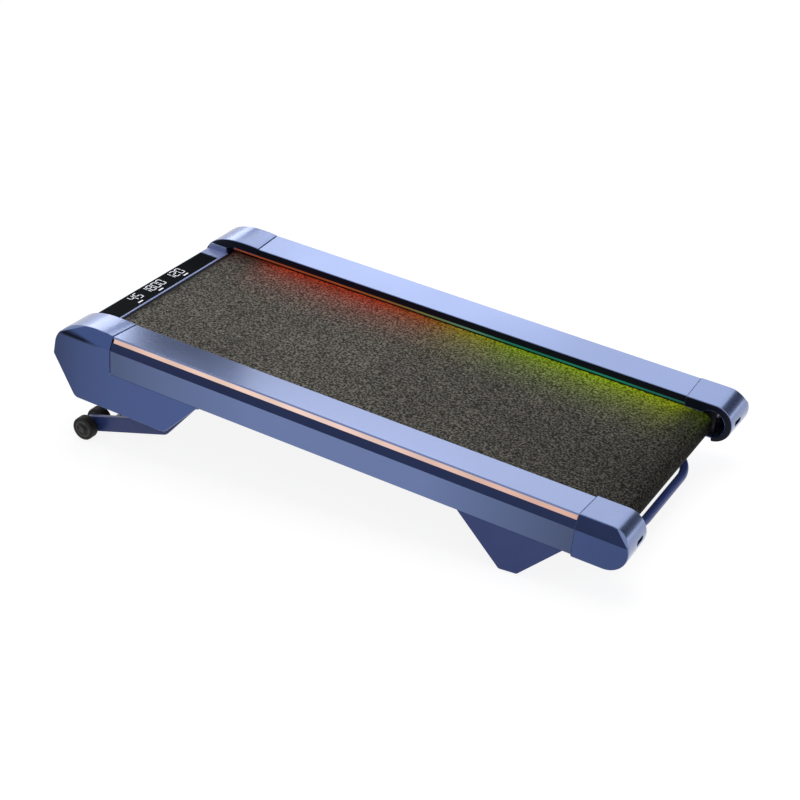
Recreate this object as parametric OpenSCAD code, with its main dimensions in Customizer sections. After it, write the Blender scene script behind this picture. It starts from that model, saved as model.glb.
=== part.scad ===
/* [Side rails] */
// Length of the side rails between the front and rear end caps
rail_l = 930; // [880:10:1100]
// Width of each side rail, which covers the belt's edge
rail_w = 79; // [76:1:86]
// Height of a side rail at its outer top edge
rail_h = 74; // [73:0.5:78]
// Drop of the rail's top face towards the belt
rail_slope = 4.8; // [3:0.2:6]
// Height at which the rail's side turns into the light bevel
bevel_z = 49; // [46:1:54]
// Inward lean of the light bevel
bevel_in = 10; // [6:1:12]
// Wall of the rail extrusion
rail_t = 2.5; // [2:0.1:2.8]

/* [Running belt] */
// Width of the walking belt, which sets the width of the whole pad
belt_w = 408; // [380:2:480]
// Width of the belt's edge that each rail covers
belt_cover = 3; // [2:0.5:4]
// Thickness of the walking belt
belt_t = 1.8; // [1.4:0.1:2.2]
// Radius of the front and rear rollers
roller_r = 22.2; // [20:0.1:22.5]
// Height of the roller axes above the rail's bottom
roller_z = 22; // [21:0.5:23]
// Distance of the front roller's axis behind the front seam, negative is in front
front_roller_x = -49; // [-51:1:-45]
// Distance of the rear roller's axis behind the rear seam
rear_roller_in = 31; // [26:1:33]
// Thickness of the deck board
deck_t = 15.5; // [14:0.5:16]
// Radius of the roller shafts
shaft_r = 6; // [5:0.5:7]

/* [Frame] */
// Width of a frame side tube
tube_w = 30; // [28:1:30]
// Height of a frame side tube
tube_h = 44; // [42:0.5:44]
// Gap between the rail's outer face and the side tube
tube_in = 28; // [26:1:30]
// Wall of the frame tubes
tube_t = 2; // [1.5:0.5:2.5]
// Height of a cross tube
cross_h = 18; // [16:1:20]

/* [Front end] */
// Height by which the front caps stand above the rails
cap_up = 1; // [0:0.2:3]
// Distance from the rail's front end to the highest line of the front cap's arch
crown_x = 30; // [24:1:36]
// Reach of the front cap's nose in front of the seam
nose = 130; // [128:1:136]
// Depth of the front leg plates below the rail
leg_h = 78; // [76:1:80]
// Reach of the leg plate behind the seam, at the rail's bottom
leg_back = 195; // [188:1:200]
// Wall of the moulded front housings
shell_t = 3; // [2.5:0.1:3.2]
// Thickness of a leg plate
plate_t = 5; // [4:0.5:5.5]
// Height of the display bridge
bridge_z = 38; // [36:0.5:40]

/* [Rear end] */
// Radius of the rear cap's round end
rear_r = 39.5; // [38.5:0.1:40]
// Length of the straight part of a rear cap
rear_l = 56.5; // [52:0.5:60]
// Height at which the rear feet's soles stop below the rail, at the middle of the sole
foot_h = 81.2; // [78:0.1:84]
// Width across the carry handle
handle_w = 368; // [350:2:380]
// Reach of the carry handle behind the rear seam
handle_out = 60; // [58:1:68]
// Radius of the carry handle's bends
handle_round = 107; // [90:1:110]

/* [Lift arm] */
// Distance from the lift pivot to the arm's elbow
upper_limb = 99.5; // [98:0.5:101]
// Distance from the arm's elbow to the wheel axle
lower_limb = 174.3; // [172:0.1:176]
// Angle of the upper limb below the pad, arm down
upper_angle = 51.5; // [50:0.5:53]
// Angle of the lower limb below the pad, arm down
lower_angle = 18.3; // [17.8:0.1:19]
// Height of the arm plates
arm_h = 31; // [28:1:32]
// Thickness of the arm plates
arm_t = 10; // [8:1:10]
// Radius of the transport wheels
wheel_r = 23; // [21:0.5:24]
// Width of a transport wheel
wheel_w = 20; // [16:1:20]
// Radius of the wheel axles
axle_r = 4; // [3:0.5:5]
// Angle by which the arm folds up from its lowered position
fold_angle = 24; // [20:1:24]
// Distance from the lift pivot to the actuator's pin
lever_l = 42; // [40:1:43]

/* [Hidden] */
$fn = 48;

// Half widths and heights that several pieces share
inner_y = belt_w / 2 - belt_cover;
side_y = inner_y + rail_w;
tube_y1 = side_y - tube_in;
tube_y0 = tube_y1 - tube_w;
inner_top = rail_h - rail_slope;
run_gap = 0.1;
belt_in_r = roller_r + run_gap;
belt_out_r = belt_in_r + belt_t;
belt_top = roller_z + belt_out_r;
lip_z = belt_top + 3.4;
rear_roller_x = rail_l + rear_roller_in;
seat_gap = 0.3;
eps = 0.01;

// Lift arm, arm plates and wheels
pivot_x = leg_back - 41;
pivot_z = -20;
cap_h = rail_h + cap_up;
elbow_x = pivot_x - upper_limb * cos(upper_angle);
elbow_z = pivot_z - upper_limb * sin(upper_angle);
wheel_x = elbow_x - lower_limb * cos(lower_angle);
wheel_z = elbow_z - lower_limb * sin(lower_angle);
arm_y0 = tube_y0 + 11;
arm_y1 = arm_y0 + arm_t;
collar_l = 5.7;
wheel_gap = 0.3;
outer_wheel_y = arm_y1 + collar_l + wheel_gap;
inner_wheel_y = arm_y0 - collar_l - wheel_gap - wheel_w;
cross_x = wheel_x + 51 * cos(lower_angle);
cross_z = wheel_z + 51 * sin(lower_angle);
torque_r = 12.5;
bush_r = 15.5;
pin_x = pivot_x + lever_l * sin(fold_angle / 2);
pin_z = pivot_z - lever_l * cos(fold_angle / 2);
rod_r = 7;
fork_h = 11;

// Rear feet: the sole lies on the floor while the arm is down
foot_x = rail_l - 105;
pad_out = 3.1;
floor_x = foot_x;
floor_z = -foot_h - pad_out;
span_x = floor_x - wheel_x;
span_z = floor_z - wheel_z;
incline = asin(wheel_r / norm([span_x, span_z])) + atan2(span_z, span_x);
lift_z = foot_x * sin(incline) + foot_h * cos(incline) + pad_out;

// Rear caps
rear_x0 = rail_l - 0.5;
rear_cx = rear_x0 + rear_l;
rear_top = rail_h + 1.3;
rear_cz = rear_top - rear_r;
rear_z0 = rear_cz - rear_r;
rear_in_r = rear_r - rail_slope / 2;
proud_out = 1.5;
proud_in = 4;
ring_r = 26.6;
ring_x = rear_cx - 2.5;
ring_z = rear_cz - 4.3;
bolt_y = tube_y0 + 8.5;
bolt_z = 35;

// The origin is under the middle of the box that holds the whole pad
front_end = -nose * cos(incline);
rear_end = rear_cx * cos(incline) + rear_cz * sin(incline) + rear_r;
shift_x = -(front_end + rear_end) / 2;

// Motor bay under the display bridge
motor_x = -92;
motor_z = -5;
motor_r = 25;
motor_y = inner_y - 51;
tray_t = 2.5;
tray_z = -38;
bay_front = -125;
bay_rear = -62;
bridge_rear = front_roller_x - 22.5;
shelf_z = -8;
pulley_y = belt_w / 2 + 3;
pulley_w = 12;
roller_pulley_r = 23;
motor_pulley_r = 9.6;
drive_t = 1.6;
deck_top = belt_top - belt_t - seat_gap;
deck_z = deck_top - deck_t;
cross_z0 = 5;
cushion_h = deck_z - cross_z0 - cross_h;

// Colours, close to the photographed finish
blue = [0.48, 0.54, 0.75];
dark_blue = [0.26, 0.31, 0.47];
steel = [0.62, 0.63, 0.66];
black = [0.08, 0.08, 0.09];

echo(incline = incline, shift_x = shift_x, lift_z = lift_z);
echo(wheel = [wheel_x, wheel_z], pin = [pin_x, pin_z], elbow = [elbow_x, elbow_z]);

// Points of an arc from angle a0 to angle a1
function arc(c, r, a0, a1, n = 12) =
    [for (i = [0:n]) let (a = a0 + (a1 - a0) * i / n) c + r * [cos(a), sin(a)]];

function unit(v) = v / norm(v);

// Arc that rounds the corner b between the points a and c
function corner(a, b, c, r, n = 8) =
    let (
        u = unit(a - b),
        v = unit(c - b),
        half = acos(u * v) / 2,
        centre = b + unit(u + v) * r / sin(half),
        p = b + u * r / tan(half) - centre,
        q = b + v * r / tan(half) - centre,
        a0 = atan2(p[1], p[0]),
        turn = atan2(q[1], q[0]) - a0,
        sweep = turn > 180 ? turn - 360 : turn < -180 ? turn + 360 : turn
    )
    arc(centre, r, a0, a0 + sweep, n);

// Closed outline whose corners have the radii in the list r, 0 for a sharp one
function rounded(p, r, n = 8) =
    [for (i = [0:len(p) - 1])
        let (k = len(p))
        each (r[i] > 0
            ? corner(p[(i + k - 1) % k], p[i], p[(i + 1) % k], r[i], n)
            : [p[i]])];

// Loop of a belt around two pulleys, with its inner or outer face at the given radii
function belt_loop(c1, r1, c2, r2, n = 24) =
    let (
        d = c2 - c1,
        phi = atan2(d[1], d[0]),
        beta = acos((r1 - r2) / norm(d)),
        k1 = 1 / cos((180 - beta) / n),
        k2 = 1 / cos(beta / n)
    )
    concat(arc(c1, r1 * k1, phi + beta, phi + 360 - beta, n), arc(c2, r2 * k2, phi - beta, phi + beta, n));

// Moves the level pad to where it stands: nose up on its wheels, soles on the floor
module placed() {
    translate([shift_x, 0, lift_z])
        rotate([0, incline, 0])
            children();
}

module left() {
    mirror([0, 1, 0])
        children();
}

module both() {
    children();
    left()
        children();
}

// Extrudes an outline of (across, up) points along the pad
module along_x(x0, x1) {
    translate([x0, 0, 0])
        rotate([90, 0, 90])
            linear_extrude(x1 - x0)
                children();
}

// Extrudes an outline of (along, up) points across the pad
module along_y(y0, y1) {
    translate([0, y1, 0])
        rotate([90, 0, 0])
            linear_extrude(y1 - y0)
                children();
}

module block(x0, x1, y0, y1, z0, z1) {
    translate([x0, y0, z0])
        cube([x1 - x0, y1 - y0, z1 - z0]);
}

module rod_x(x0, x1, y, z, r) {
    translate([x0, y, z])
        rotate([0, 90, 0])
            cylinder(h = x1 - x0, r = r);
}

module rod_y(x, z, y0, y1, r) {
    translate([x, y0, z])
        rotate([-90, 0, 0])
            cylinder(h = y1 - y0, r = r);
}

module rod_z(x, y, z0, z1, r) {
    translate([x, y, z0])
        cylinder(h = z1 - z0, r = r);
}

// Steel frame

module side_tube() {
    color(black)
        difference() {
            block(-70, rail_l + 55, tube_y0, tube_y1, 0, tube_h);
            block(-71, rail_l + 56, tube_y0 + tube_t, tube_y1 - tube_t, tube_t, tube_h - tube_t);
            rod_y(front_roller_x, roller_z, tube_y0 - 1, tube_y1 + 1, shaft_r + 0.1);
            block(rear_roller_x - 12, rear_roller_x + 12, tube_y0 - 1, tube_y1 + 1,
                roller_z - shaft_r - 0.1, roller_z + shaft_r + 0.1);
        }
}

// Hollow tube across the frame, between the belt's two runs
module cross_tube(x, w = 40) {
    color(black)
        difference() {
            block(x - w / 2, x + w / 2, -tube_y0, tube_y0, cross_z0, cross_z0 + cross_h);
            block(x - w / 2 + tube_t, x + w / 2 - tube_t, -tube_y0 - 1, tube_y0 + 1,
                cross_z0 + tube_t, cross_z0 + cross_h - tube_t);
        }
}

cross_x_front = 60;
cross_x_middle = (rail_l - 50) / 2 + 20;
cross_x_rear = rail_l - 60;
beam_x0 = 10;
beam_x1 = 50;
beam_z0 = -20;
beam_z1 = -4;

// Beam below the belt's return run, seated under both side tubes
module low_beam(x0, x1, z0) {
    difference() {
        block(x0, x1, -tube_y1, tube_y1, z0, beam_z1);
        block(x0 + tube_t, x1 - tube_t, -tube_y1 - 1, tube_y1 + 1, z0 + tube_t, beam_z1 - tube_t);
    }
    both()
        block(x0, min(x1, rear_x0 - 1), tube_y0, tube_y1, beam_z1 - eps, 0);
}

gear_x0 = 38;
gear_x1 = 60;
gear_half = 16;

module lift_beam() {
    color(black) {
        low_beam(beam_x0, beam_x1, beam_z0);
        both()
            block(gear_x0, beam_x1, gear_half + seat_gap, gear_half + seat_gap + 4, pin_z - 10, beam_z0 + eps);
    }
}

foot_rear = 90;
rear_beam_x0 = foot_x + foot_rear + 1;
rear_beam_x1 = rear_beam_x0 + 24;
handle_z0 = -28;
handle_z1 = -16;
handle_bar = 16;
handle_x1 = rail_l + handle_out;

module rear_beam() {
    color(black)
        low_beam(rear_beam_x0, rear_beam_x1, handle_z1);
}

// Deck

deck_x0 = front_roller_x + belt_out_r + 6;
deck_x1 = rear_roller_x - belt_out_r - 6;

module deck_board() {
    color([0.2, 0.18, 0.16])
        difference() {
            block(deck_x0, deck_x1, -belt_w / 2, belt_w / 2, deck_z, deck_top);
            deck_screw_places()
                rod_z(0, 0, deck_top - 3.2, deck_top + 1, 4.6);
            deck_screw_places()
                rod_z(0, 0, deck_z - 1, deck_top, 2.2);
        }
}

module deck_screw_places() {
    for (x = [cross_x_front, cross_x_middle, cross_x_rear])
        for (y = [-150, 150])
            translate([x, y, 0])
                children();
}

module deck_screws() {
    color(steel)
        deck_screw_places() {
            rod_z(0, 0, deck_z - cushion_h, deck_top - 3, 2);
            rod_z(0, 0, deck_top - 3 - eps, deck_top - 1, 4.3);
        }
}

// Rubber buffers between the cross tubes and the deck
module deck_cushions() {
    color(black)
        deck_screw_places()
            difference() {
                rod_z(0, 0, cross_z0 + cross_h, deck_z, 14);
                rod_z(0, 0, cross_z0, deck_z + 1, 2.6);
            }
}

// Side rails

light_w = 8;
light_depth = 1.6;
led_z0 = 50.7;
led_z1 = 54.7;
led_depth = 1.4;
bevel_out = [side_y, bevel_z];
bevel_top = [side_y - bevel_in, rail_h];
bevel_dir = unit(bevel_top - bevel_out);
bevel_normal = [bevel_dir[1], -bevel_dir[0]];
light_start = bevel_out + bevel_dir * (norm(bevel_top - bevel_out) - light_w - 3);

// Cross section of the light strip's seat, sunk by depth into the bevel
function light_section(depth, grow = 0) =
    let (
        a = light_start - bevel_dir * grow,
        b = light_start + bevel_dir * (light_w + grow)
    )
    [a, b, b - bevel_normal * depth, a - bevel_normal * depth];

module rail_section() {
    difference() {
        polygon([[inner_y, lip_z], [tube_y0 - 1, lip_z], [tube_y0 - 1, tube_h], [side_y - rail_t, tube_h],
            [side_y - rail_t, rail_t], [tube_y1 + 2, rail_t], [tube_y1 + 2, 0], [side_y, 0], bevel_out,
            bevel_top, [inner_y, inner_top]]);
        polygon([[inner_y + rail_t + 1, lip_z + rail_t], [tube_y0 + 2, lip_z + rail_t],
            [tube_y0 + 2, tube_h + rail_t], [side_y - rail_t, tube_h + rail_t],
            [side_y - rail_t - 1, bevel_z], [side_y - bevel_in - rail_t - 2, rail_h - rail_t - 1],
            [inner_y + rail_t + 1, inner_top - rail_t]]);
        polygon(concat([light_start + bevel_normal * 2], [light_start + bevel_dir * light_w + bevel_normal * 2],
            [light_section(light_depth)[2]], [light_section(light_depth)[3]]));
        translate([inner_y - 1, led_z0])
            square([1 + led_depth, led_z1 - led_z0]);
    }
}

seam = 0.6;

module rail() {
    color(blue)
        along_x(seam, rear_x0)
            rail_section();
}

module outer_light() {
    color([0.94, 0.79, 0.72])
        along_x(seam + 3, rail_l - 2)
            polygon(light_section(light_depth));
}

inner_light_x0 = -58;

module inner_light() {
    color([0.2, 0.6, 0.4])
        along_x(inner_light_x0, rail_l - 2)
            translate([inner_y + 0.2, led_z0 + 0.1])
                square([led_depth - 0.2, led_z1 - led_z0 - 0.2]);
}

// Front housings: an arched cap in front of the rail, and a leg plate below it

cap_floor = -20;
cap_inner_top = cap_h - rail_slope;

// Outline of a front cap above its floor: a superellipse of the exponent e, which starts at the seam at the
// height top, is highest at crown_x and reaches x = front at the height low
function cap_outline(top, front, low, e, t) =
    let (
        reach = -crown_x - front,
        seam_a = -asin(pow(crown_x / reach, e / 2)),
        peak = low + (top - low) / pow(cos(seam_a), 2 / e),
        start = -asin(pow((crown_x - t) / (reach - t), e / 2))
    )
    concat([[-t, cap_floor + t]],
        [for (i = [0:20])
            let (a = start + (88 - start) * i / 20)
            [-crown_x - (reach - t) * sign(a) * pow(abs(sin(a)), 2 / e), low + (peak - low - t) * pow(cos(a), 2 / e)]],
        [[-nose + 1.05 * t, 0], [-nose - 0.62 * cap_floor + 1.4 * t, cap_floor + t]]);

// Body of a front cap, drawn t smaller all round; its arch is fuller towards the belt
module cap_solid(t) {
    skin = 0.05;
    side_arch = cap_outline(cap_h, -nose + 3, 15, 2.3, t);
    y0 = inner_y + t;
    y1 = side_y - t;
    hull() {
        along_y(y0, y0 + skin)
            polygon(cap_outline(cap_inner_top, -nose + 0.5, 6, 2.6, t));
        along_y(y1 - bevel_in, y1 - bevel_in + skin)
            polygon(side_arch);
        along_y(y1 - skin, y1)
            intersection() {
                polygon(side_arch);
                translate([-nose, cap_floor])
                    square([nose, bevel_z - 0.4 * t - cap_floor]);
            }
    }
}

foot_block_y = arm_y1 + 7;

// Plate below the cap and the rail, which carries the front foot
module leg_plate() {
    intersection() {
        along_y(side_y - plate_t, side_y)
            polygon(rounded([[leg_back, 0], [0, 0], [0, cap_floor + shell_t],
                [-nose - 0.62 * (cap_floor + shell_t), cap_floor + shell_t],
                [-nose + 0.62 * leg_h, -leg_h], [leg_back - 72, -leg_h]], [0, 0, 0, 0, 14, 18], 14));
        block(-nose, leg_back, 0, side_y, -leg_h, 0);
    }
}

module front_housing() {
    color(blue)
        difference() {
            union() {
                difference() {
                    cap_solid(0);
                    cap_solid(shell_t);
                    block(-shell_t - 1, 1, inner_y + shell_t, side_y - shell_t, cap_floor + shell_t, bevel_z - 3);
                    block(-shell_t - 1, 1, inner_y + shell_t, side_y - bevel_in - shell_t,
                        bevel_z - 4, cap_inner_top - shell_t - 1);
                }
                leg_plate();
                block(-35, leg_back - 95, foot_block_y, side_y - 1, -leg_h, -leg_h + 12);
            }
            // Room for the walking belt, the front roller and the tray
            block(front_roller_x - belt_out_r - 2, 1, inner_y - 1, inner_y + shell_t + 0.5, cap_floor + shell_t, lip_z);
            block(-nose, -60, inner_y - 1, inner_y + shell_t + 0.5, cap_floor - 1, cap_floor + shell_t + 1);
            // Room for the motor shaft
            rod_y(motor_x, motor_z, inner_y - 1, inner_y + shell_t + 0.5, 11.5);
            // Seat of the inner light strip
            block(inner_light_x0 - 0.2, 1, inner_y - 1, inner_y + led_depth, led_z0, led_z1);
            // Top seam, which keeps the cap off the rail
            block(-seam / 2, 1, inner_y - 1, side_y + 1, 0, cap_h + 1);
        }
}

// Rear caps: a sleeve with a round end, lower and slimmer towards the belt

// Outline of a rear cap with the end radius r, its foot on the line z0
function rear_outline(r, t) =
    concat([[rear_x0, rear_z0 + t]], arc([rear_cx, rear_z0 + r], r - t, -90, 90, 24),
        [[rear_x0, rear_z0 + 2 * r - t]]);

// Body of a rear cap, drawn t smaller all round
module rear_solid(t) {
    skin = 0.05;
    y0 = inner_y - proud_in + t;
    y1 = side_y + proud_out - t;
    hull() {
        along_y(y0, y0 + skin)
            polygon(rear_outline(rear_in_r, t));
        along_y(y1 - bevel_in, y1 - bevel_in + skin)
            polygon(rear_outline(rear_r, t));
        along_y(y1 - skin, y1)
            intersection() {
                polygon(rear_outline(rear_r, t));
                translate([rear_x0, rear_z0])
                    square([2 * rear_l, bevel_z + 1 - 0.4 * t - rear_z0]);
            }
    }
}

module rear_cap() {
    color(blue)
        difference() {
            rear_solid(0);
            rear_solid(shell_t);
            // Mouth round the rail's end
            block(rear_x0 - 1, rear_x0 + 1, inner_y + 5, side_y - 4, 3, 60);
            // Opening towards the belt, in a round ring
            rod_y(ring_x, ring_z, inner_y - proud_in - 1, inner_y, ring_r);
            block(rear_x0 - 1, rear_roller_x + belt_out_r + 4, inner_y - proud_in - 1,
                belt_w / 2 + 4, rear_z0 - 1, lip_z);
            // Slot for the key that turns the tension bolt
            block(rear_cx + 20, rear_cx + rear_r + 1, bolt_y - 15, bolt_y + 9, bolt_z - 2.5, bolt_z + 5.5);
        }
}

// Display bridge and its display

glass_x0 = bay_front + 5;
glass_x1 = bridge_rear - 4;
glass_y = inner_y - 31;
glass_top = bridge_z - 1.5;
glass_t = 2.8;

module bridge_cover() {
    color(blue)
        difference() {
            union() {
                along_y(-inner_y + seat_gap, inner_y - seat_gap)
                    polygon(rounded([[bridge_rear, bridge_z], [bay_front + 1, bridge_z], [bay_front, 0.5],
                        [bay_front + 3, 0.5], [bay_front + 4, bridge_z - 6], [bridge_rear - 3, bridge_z - 6],
                        [bridge_rear - 3, bridge_z - 4], [bridge_rear, bridge_z - 4]],
                        [0, 10, 0, 0, 5, 0, 0, 0]));
                // Upstand at each end, against the cap's inner wall
                both()
                    along_y(inner_y - 5, inner_y - seat_gap)
                        polygon(rounded([[bay_front + 8, bridge_z - 3], [bridge_rear - 3.5, bridge_z - 3],
                            [bridge_rear - 3.5, lip_z], [bay_front + 8, lip_z]], [0, 0, 0, 9], 6));
            }
            block(glass_x0, glass_x1, -glass_y, glass_y, glass_top - glass_t, bridge_z + 1);
            block(glass_x0 + 12, glass_x1 - 8, -110, 110, bridge_z - 10, bridge_z);
        }
}

module display_glass() {
    color(black)
        block(glass_x0 + 0.2, glass_x1 - 0.2, -glass_y + 0.2, glass_y - 0.2, glass_top - glass_t, glass_top);
}

digit_h = 22;
digit_w = 12.5;
digit_pitch = 16;
digit_s = 1.7;
digit_x = bay_front + 21.5;
ink = 0.3;
// Segments lit for each figure: top, upper right, lower right, bottom, lower left, upper left, middle
SEGMENTS = [[1, 1, 1, 1, 1, 1, 0], [0, 1, 1, 0, 0, 0, 0], [1, 1, 0, 1, 1, 0, 1], [1, 1, 1, 1, 0, 0, 1],
    [0, 1, 1, 0, 0, 1, 1], [1, 0, 1, 1, 0, 1, 1], [1, 0, 1, 1, 1, 1, 1], [1, 1, 1, 0, 0, 0, 0],
    [1, 1, 1, 1, 1, 1, 1], [1, 1, 1, 1, 0, 1, 1]];
// Figures shown, the place of each group's middle across the pad, and its bar's offset from there
GROUPS = [[[4, 5], -67, -8], [[1, 8, 0, 0], -10, 0], [[1, 2, 0], 60, 12]];

// One figure with its middle at the origin, its top towards the front
module figure(n) {
    h = digit_h / 2;
    w = digit_w / 2;
    s = digit_s / 2;
    bars = [[-h + s, 0], [-h / 2, w - s], [h / 2, w - s], [h - s, 0], [h / 2, -w + s], [-h / 2, -w + s], [0, 0]];
    for (i = [0:6])
        if (SEGMENTS[n][i] == 1) {
            flat = i == 0 || i == 3 || i == 6;
            lx = flat ? s : h / 2 - s - 0.35;
            ly = flat ? w - 2 * s - 0.35 : s;
            translate([bars[i][0] - lx, bars[i][1] - ly, 0])
                cube([2 * lx, 2 * ly, ink]);
        }
}

module display_digits() {
    color([0.95, 0.96, 1])
        translate([digit_x, 0, glass_top])
            for (g = GROUPS) {
                n = len(g[0]);
                for (i = [0:n - 1])
                    translate([0, g[1] + (i - (n - 1) / 2) * digit_pitch, 0])
                        figure(g[0][i]);
                translate([digit_h / 2 + 6, g[1] + g[2] - 7, 0])
                    cube([3, 14, ink]);
            }
}

module display_board() {
    color([0.1, 0.35, 0.2])
        block(glass_x0 + 6, glass_x1 - 4, -120, 120, bridge_z - 6 - 1.6, bridge_z - 6);
}

// Tray under the motor bay, with a shelf that is seated under the side tubes

module belly_tray() {
    half = inner_y - 3;
    color(dark_blue)
        difference() {
            union() {
                along_y(-half, half)
                    polygon(rounded([[bay_front, 0], [bay_front, tray_z], [bay_rear, tray_z], [bay_rear, shelf_z],
                        [5, shelf_z], [5, shelf_z + tray_t], [bay_rear - tray_t, shelf_z + tray_t],
                        [bay_rear - tray_t, tray_z + tray_t], [bay_front + tray_t, tray_z + tray_t],
                        [bay_front + tray_t, 0]], [0, 8, 4, 0, 0, 0, 0, 1.5, 5.5, 0], 6));
                both() {
                    block(bay_front + 8, bay_rear - 4, half - tray_t, half, tray_z + 1, -2);
                    block(-38, -12, half - 1, tube_y1, shelf_z, shelf_z + tray_t);
                    block(-38, -12, tube_y0 + 2, tube_y1, shelf_z + tray_t - eps, 0);
                }
            }
            // Notch for the motor shaft
            block(motor_x - 7, motor_x + 7, half - tray_t - 1, half + 1, motor_z - 7, 1);
            // Windows for the inlet and the switch
            block(bay_front - 1, bay_front + 8, inlet_y - 14, inlet_y + 14, port_z - 10.5, port_z + 10.5);
            block(bay_front - 1, bay_front + 8, switch_y - 10, switch_y + 10, port_z - 7, port_z + 7);
        }
}

cover_x0 = beam_x1 + 2;
cover_x1 = rear_beam_x0 - 2;

module underside_cover() {
    color([0.14, 0.15, 0.2])
        union() {
            block(cover_x0, cover_x1, -tube_y0 + 8, tube_y0 - 8, -6.6, -5);
            both()
                for (x = [cross_x_front + 20, (cover_x0 + cover_x1) / 2, cover_x1 - 30])
                    translate([x, 0, 0]) {
                        block(-12, 12, tube_y0 - 9, tube_y0 + 6, -6.6, -5);
                        block(-12, 12, tube_y0 + 1, tube_y0 + 6, -5 - eps, 0);
                    }
        }
}

// Walking belt and rollers

module walking_belt() {
    c1 = [front_roller_x, roller_z];
    c2 = [rear_roller_x, roller_z];
    color([0.2, 0.2, 0.19])
        along_y(-belt_w / 2, belt_w / 2)
            difference() {
                polygon(belt_loop(c1, belt_out_r, c2, belt_out_r));
                polygon(belt_loop(c1, belt_in_r, c2, belt_in_r));
            }
}

roller_half = belt_w / 2 + 1.5;
bearing_r = 14;
bearing_w = 9;

// Roller tube on two bearings, closed at both ends but for the shaft
module roller(x) {
    color(steel)
        difference() {
            rod_y(x, roller_z, -roller_half, roller_half, roller_r);
            rod_y(x, roller_z, -roller_half + 16, roller_half - 16, roller_r - 3);
            rod_y(x, roller_z, -roller_half - 1, roller_half + 1, shaft_r + 2);
            both()
                rod_y(x, roller_z, roller_half - bearing_w, roller_half + 1, bearing_r + 0.05);
        }
}

module roller_shaft(x) {
    color(steel)
        rod_y(x, roller_z, -tube_y1, tube_y1, shaft_r);
}

module roller_bearings() {
    color([0.5, 0.5, 0.52])
        both()
            for (x = [front_roller_x, rear_roller_x])
                difference() {
                    rod_y(x, roller_z, roller_half - bearing_w + 0.2, roller_half - 0.2, bearing_r);
                    rod_y(x, roller_z, roller_half - bearing_w - 1, roller_half + 1, shaft_r + 0.02);
                }
}

module front_roller_pulley() {
    color([0.3, 0.3, 0.32])
        difference() {
            union() {
                rod_y(front_roller_x, roller_z, pulley_y, pulley_y + pulley_w, roller_pulley_r);
                rod_y(front_roller_x, roller_z, roller_half, pulley_y + eps, bearing_r + 4);
            }
            rod_y(front_roller_x, roller_z, roller_half - 1, pulley_y + pulley_w + 1, shaft_r + 1);
        }
}

// Drive

module drive_motor() {
    color([0.35, 0.36, 0.38])
        difference() {
            union() {
                rod_y(motor_x, motor_z, -20, motor_y, motor_r);
                rod_y(motor_x, motor_z, motor_y - eps, motor_y + 6, 14);
                rod_y(motor_x, motor_z, -26, -20 + eps, 12);
            }
            rod_y(motor_x, motor_z, -18, motor_y - 2, motor_r - 3);
            rod_y(motor_x, motor_z, -27, motor_y + 7, 5.06);
        }
}

module motor_rotor() {
    color(steel) {
        rod_y(motor_x, motor_z, -30, pulley_y + pulley_w, 5);
        rod_y(motor_x, motor_z, 10, motor_y - 30, motor_r - 5);
    }
}

module motor_pulley() {
    color([0.3, 0.3, 0.32])
        difference() {
            rod_y(motor_x, motor_z, pulley_y, pulley_y + pulley_w, motor_pulley_r);
            rod_y(motor_x, motor_z, pulley_y - 1, pulley_y + pulley_w + 1, 5.02);
        }
}

module drive_belt() {
    c1 = [front_roller_x, roller_z];
    c2 = [motor_x, motor_z];
    gap = 0.08;
    color(black)
        along_y(pulley_y + 1, pulley_y + pulley_w - 1)
            difference() {
                polygon(belt_loop(c1, roller_pulley_r + gap + drive_t, c2, motor_pulley_r + gap + drive_t));
                polygon(belt_loop(c1, roller_pulley_r + gap, c2, motor_pulley_r + gap));
            }
}

// Saddle that carries the motor on the tray
module motor_bracket() {
    color(steel)
        difference() {
            union() {
                block(motor_x - 22, motor_x + 22, -10, motor_y - 10, tray_z + tray_t, tray_z + tray_t + 3);
                for (y = [0, motor_y - 26])
                    block(motor_x - 18, motor_x + 18, y, y + 6, tray_z + tray_t, motor_z - 8);
            }
            rod_y(motor_x, motor_z, -30, 160, motor_r + seat_gap);
        }
}

module controller_box() {
    color([0.55, 0.56, 0.6])
        difference() {
            block(bay_front + 9, bridge_rear - 5, -inner_y + 11, -84, tray_z + tray_t, 18);
            for (y = [-inner_y + 15:10:-92])
                block(bay_front + 8, bridge_rear - 4, y, y + 5, 12, 19);
        }
}

inlet_y = -66;
switch_y = -34;
port_z = -19;
port_x = bay_front + 3.5;

// Mains socket, which the cord's plug pushes into
module power_inlet() {
    color(black)
        difference() {
            union() {
                block(port_x - 5.5, port_x + 18, inlet_y - 13.5, inlet_y + 13.5, port_z - 10, port_z + 10);
                block(port_x - 5.5, port_x - 3.5, inlet_y - 17, inlet_y + 17, port_z - 12.5, port_z + 12.5);
            }
            block(port_x - 6, port_x + 12, inlet_y - 11, inlet_y + 11, port_z - 7.5, port_z + 7.5);
        }
    color(steel)
        for (y = [-6, 0, 6])
            block(port_x + 2, port_x + 13, inlet_y + y - 1, inlet_y + y + 1, port_z - 2 - (y == 0 ? -3 : 0),
                port_z + 2 + (y == 0 ? 3 : 0));
}

module power_switch() {
    color(black)
        difference() {
            union() {
                block(port_x - 5.5, port_x + 14, switch_y - 9.5, switch_y + 9.5, port_z - 6.5, port_z + 6.5);
                block(port_x - 5.5, port_x - 3.5, switch_y - 12, switch_y + 12, port_z - 9, port_z + 9);
            }
            block(port_x - 6, port_x + 6, switch_y - 7.5, switch_y + 7.5, port_z - 5.5, port_z + 5.5);
        }
}

rocker_tilt = 8;

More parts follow.
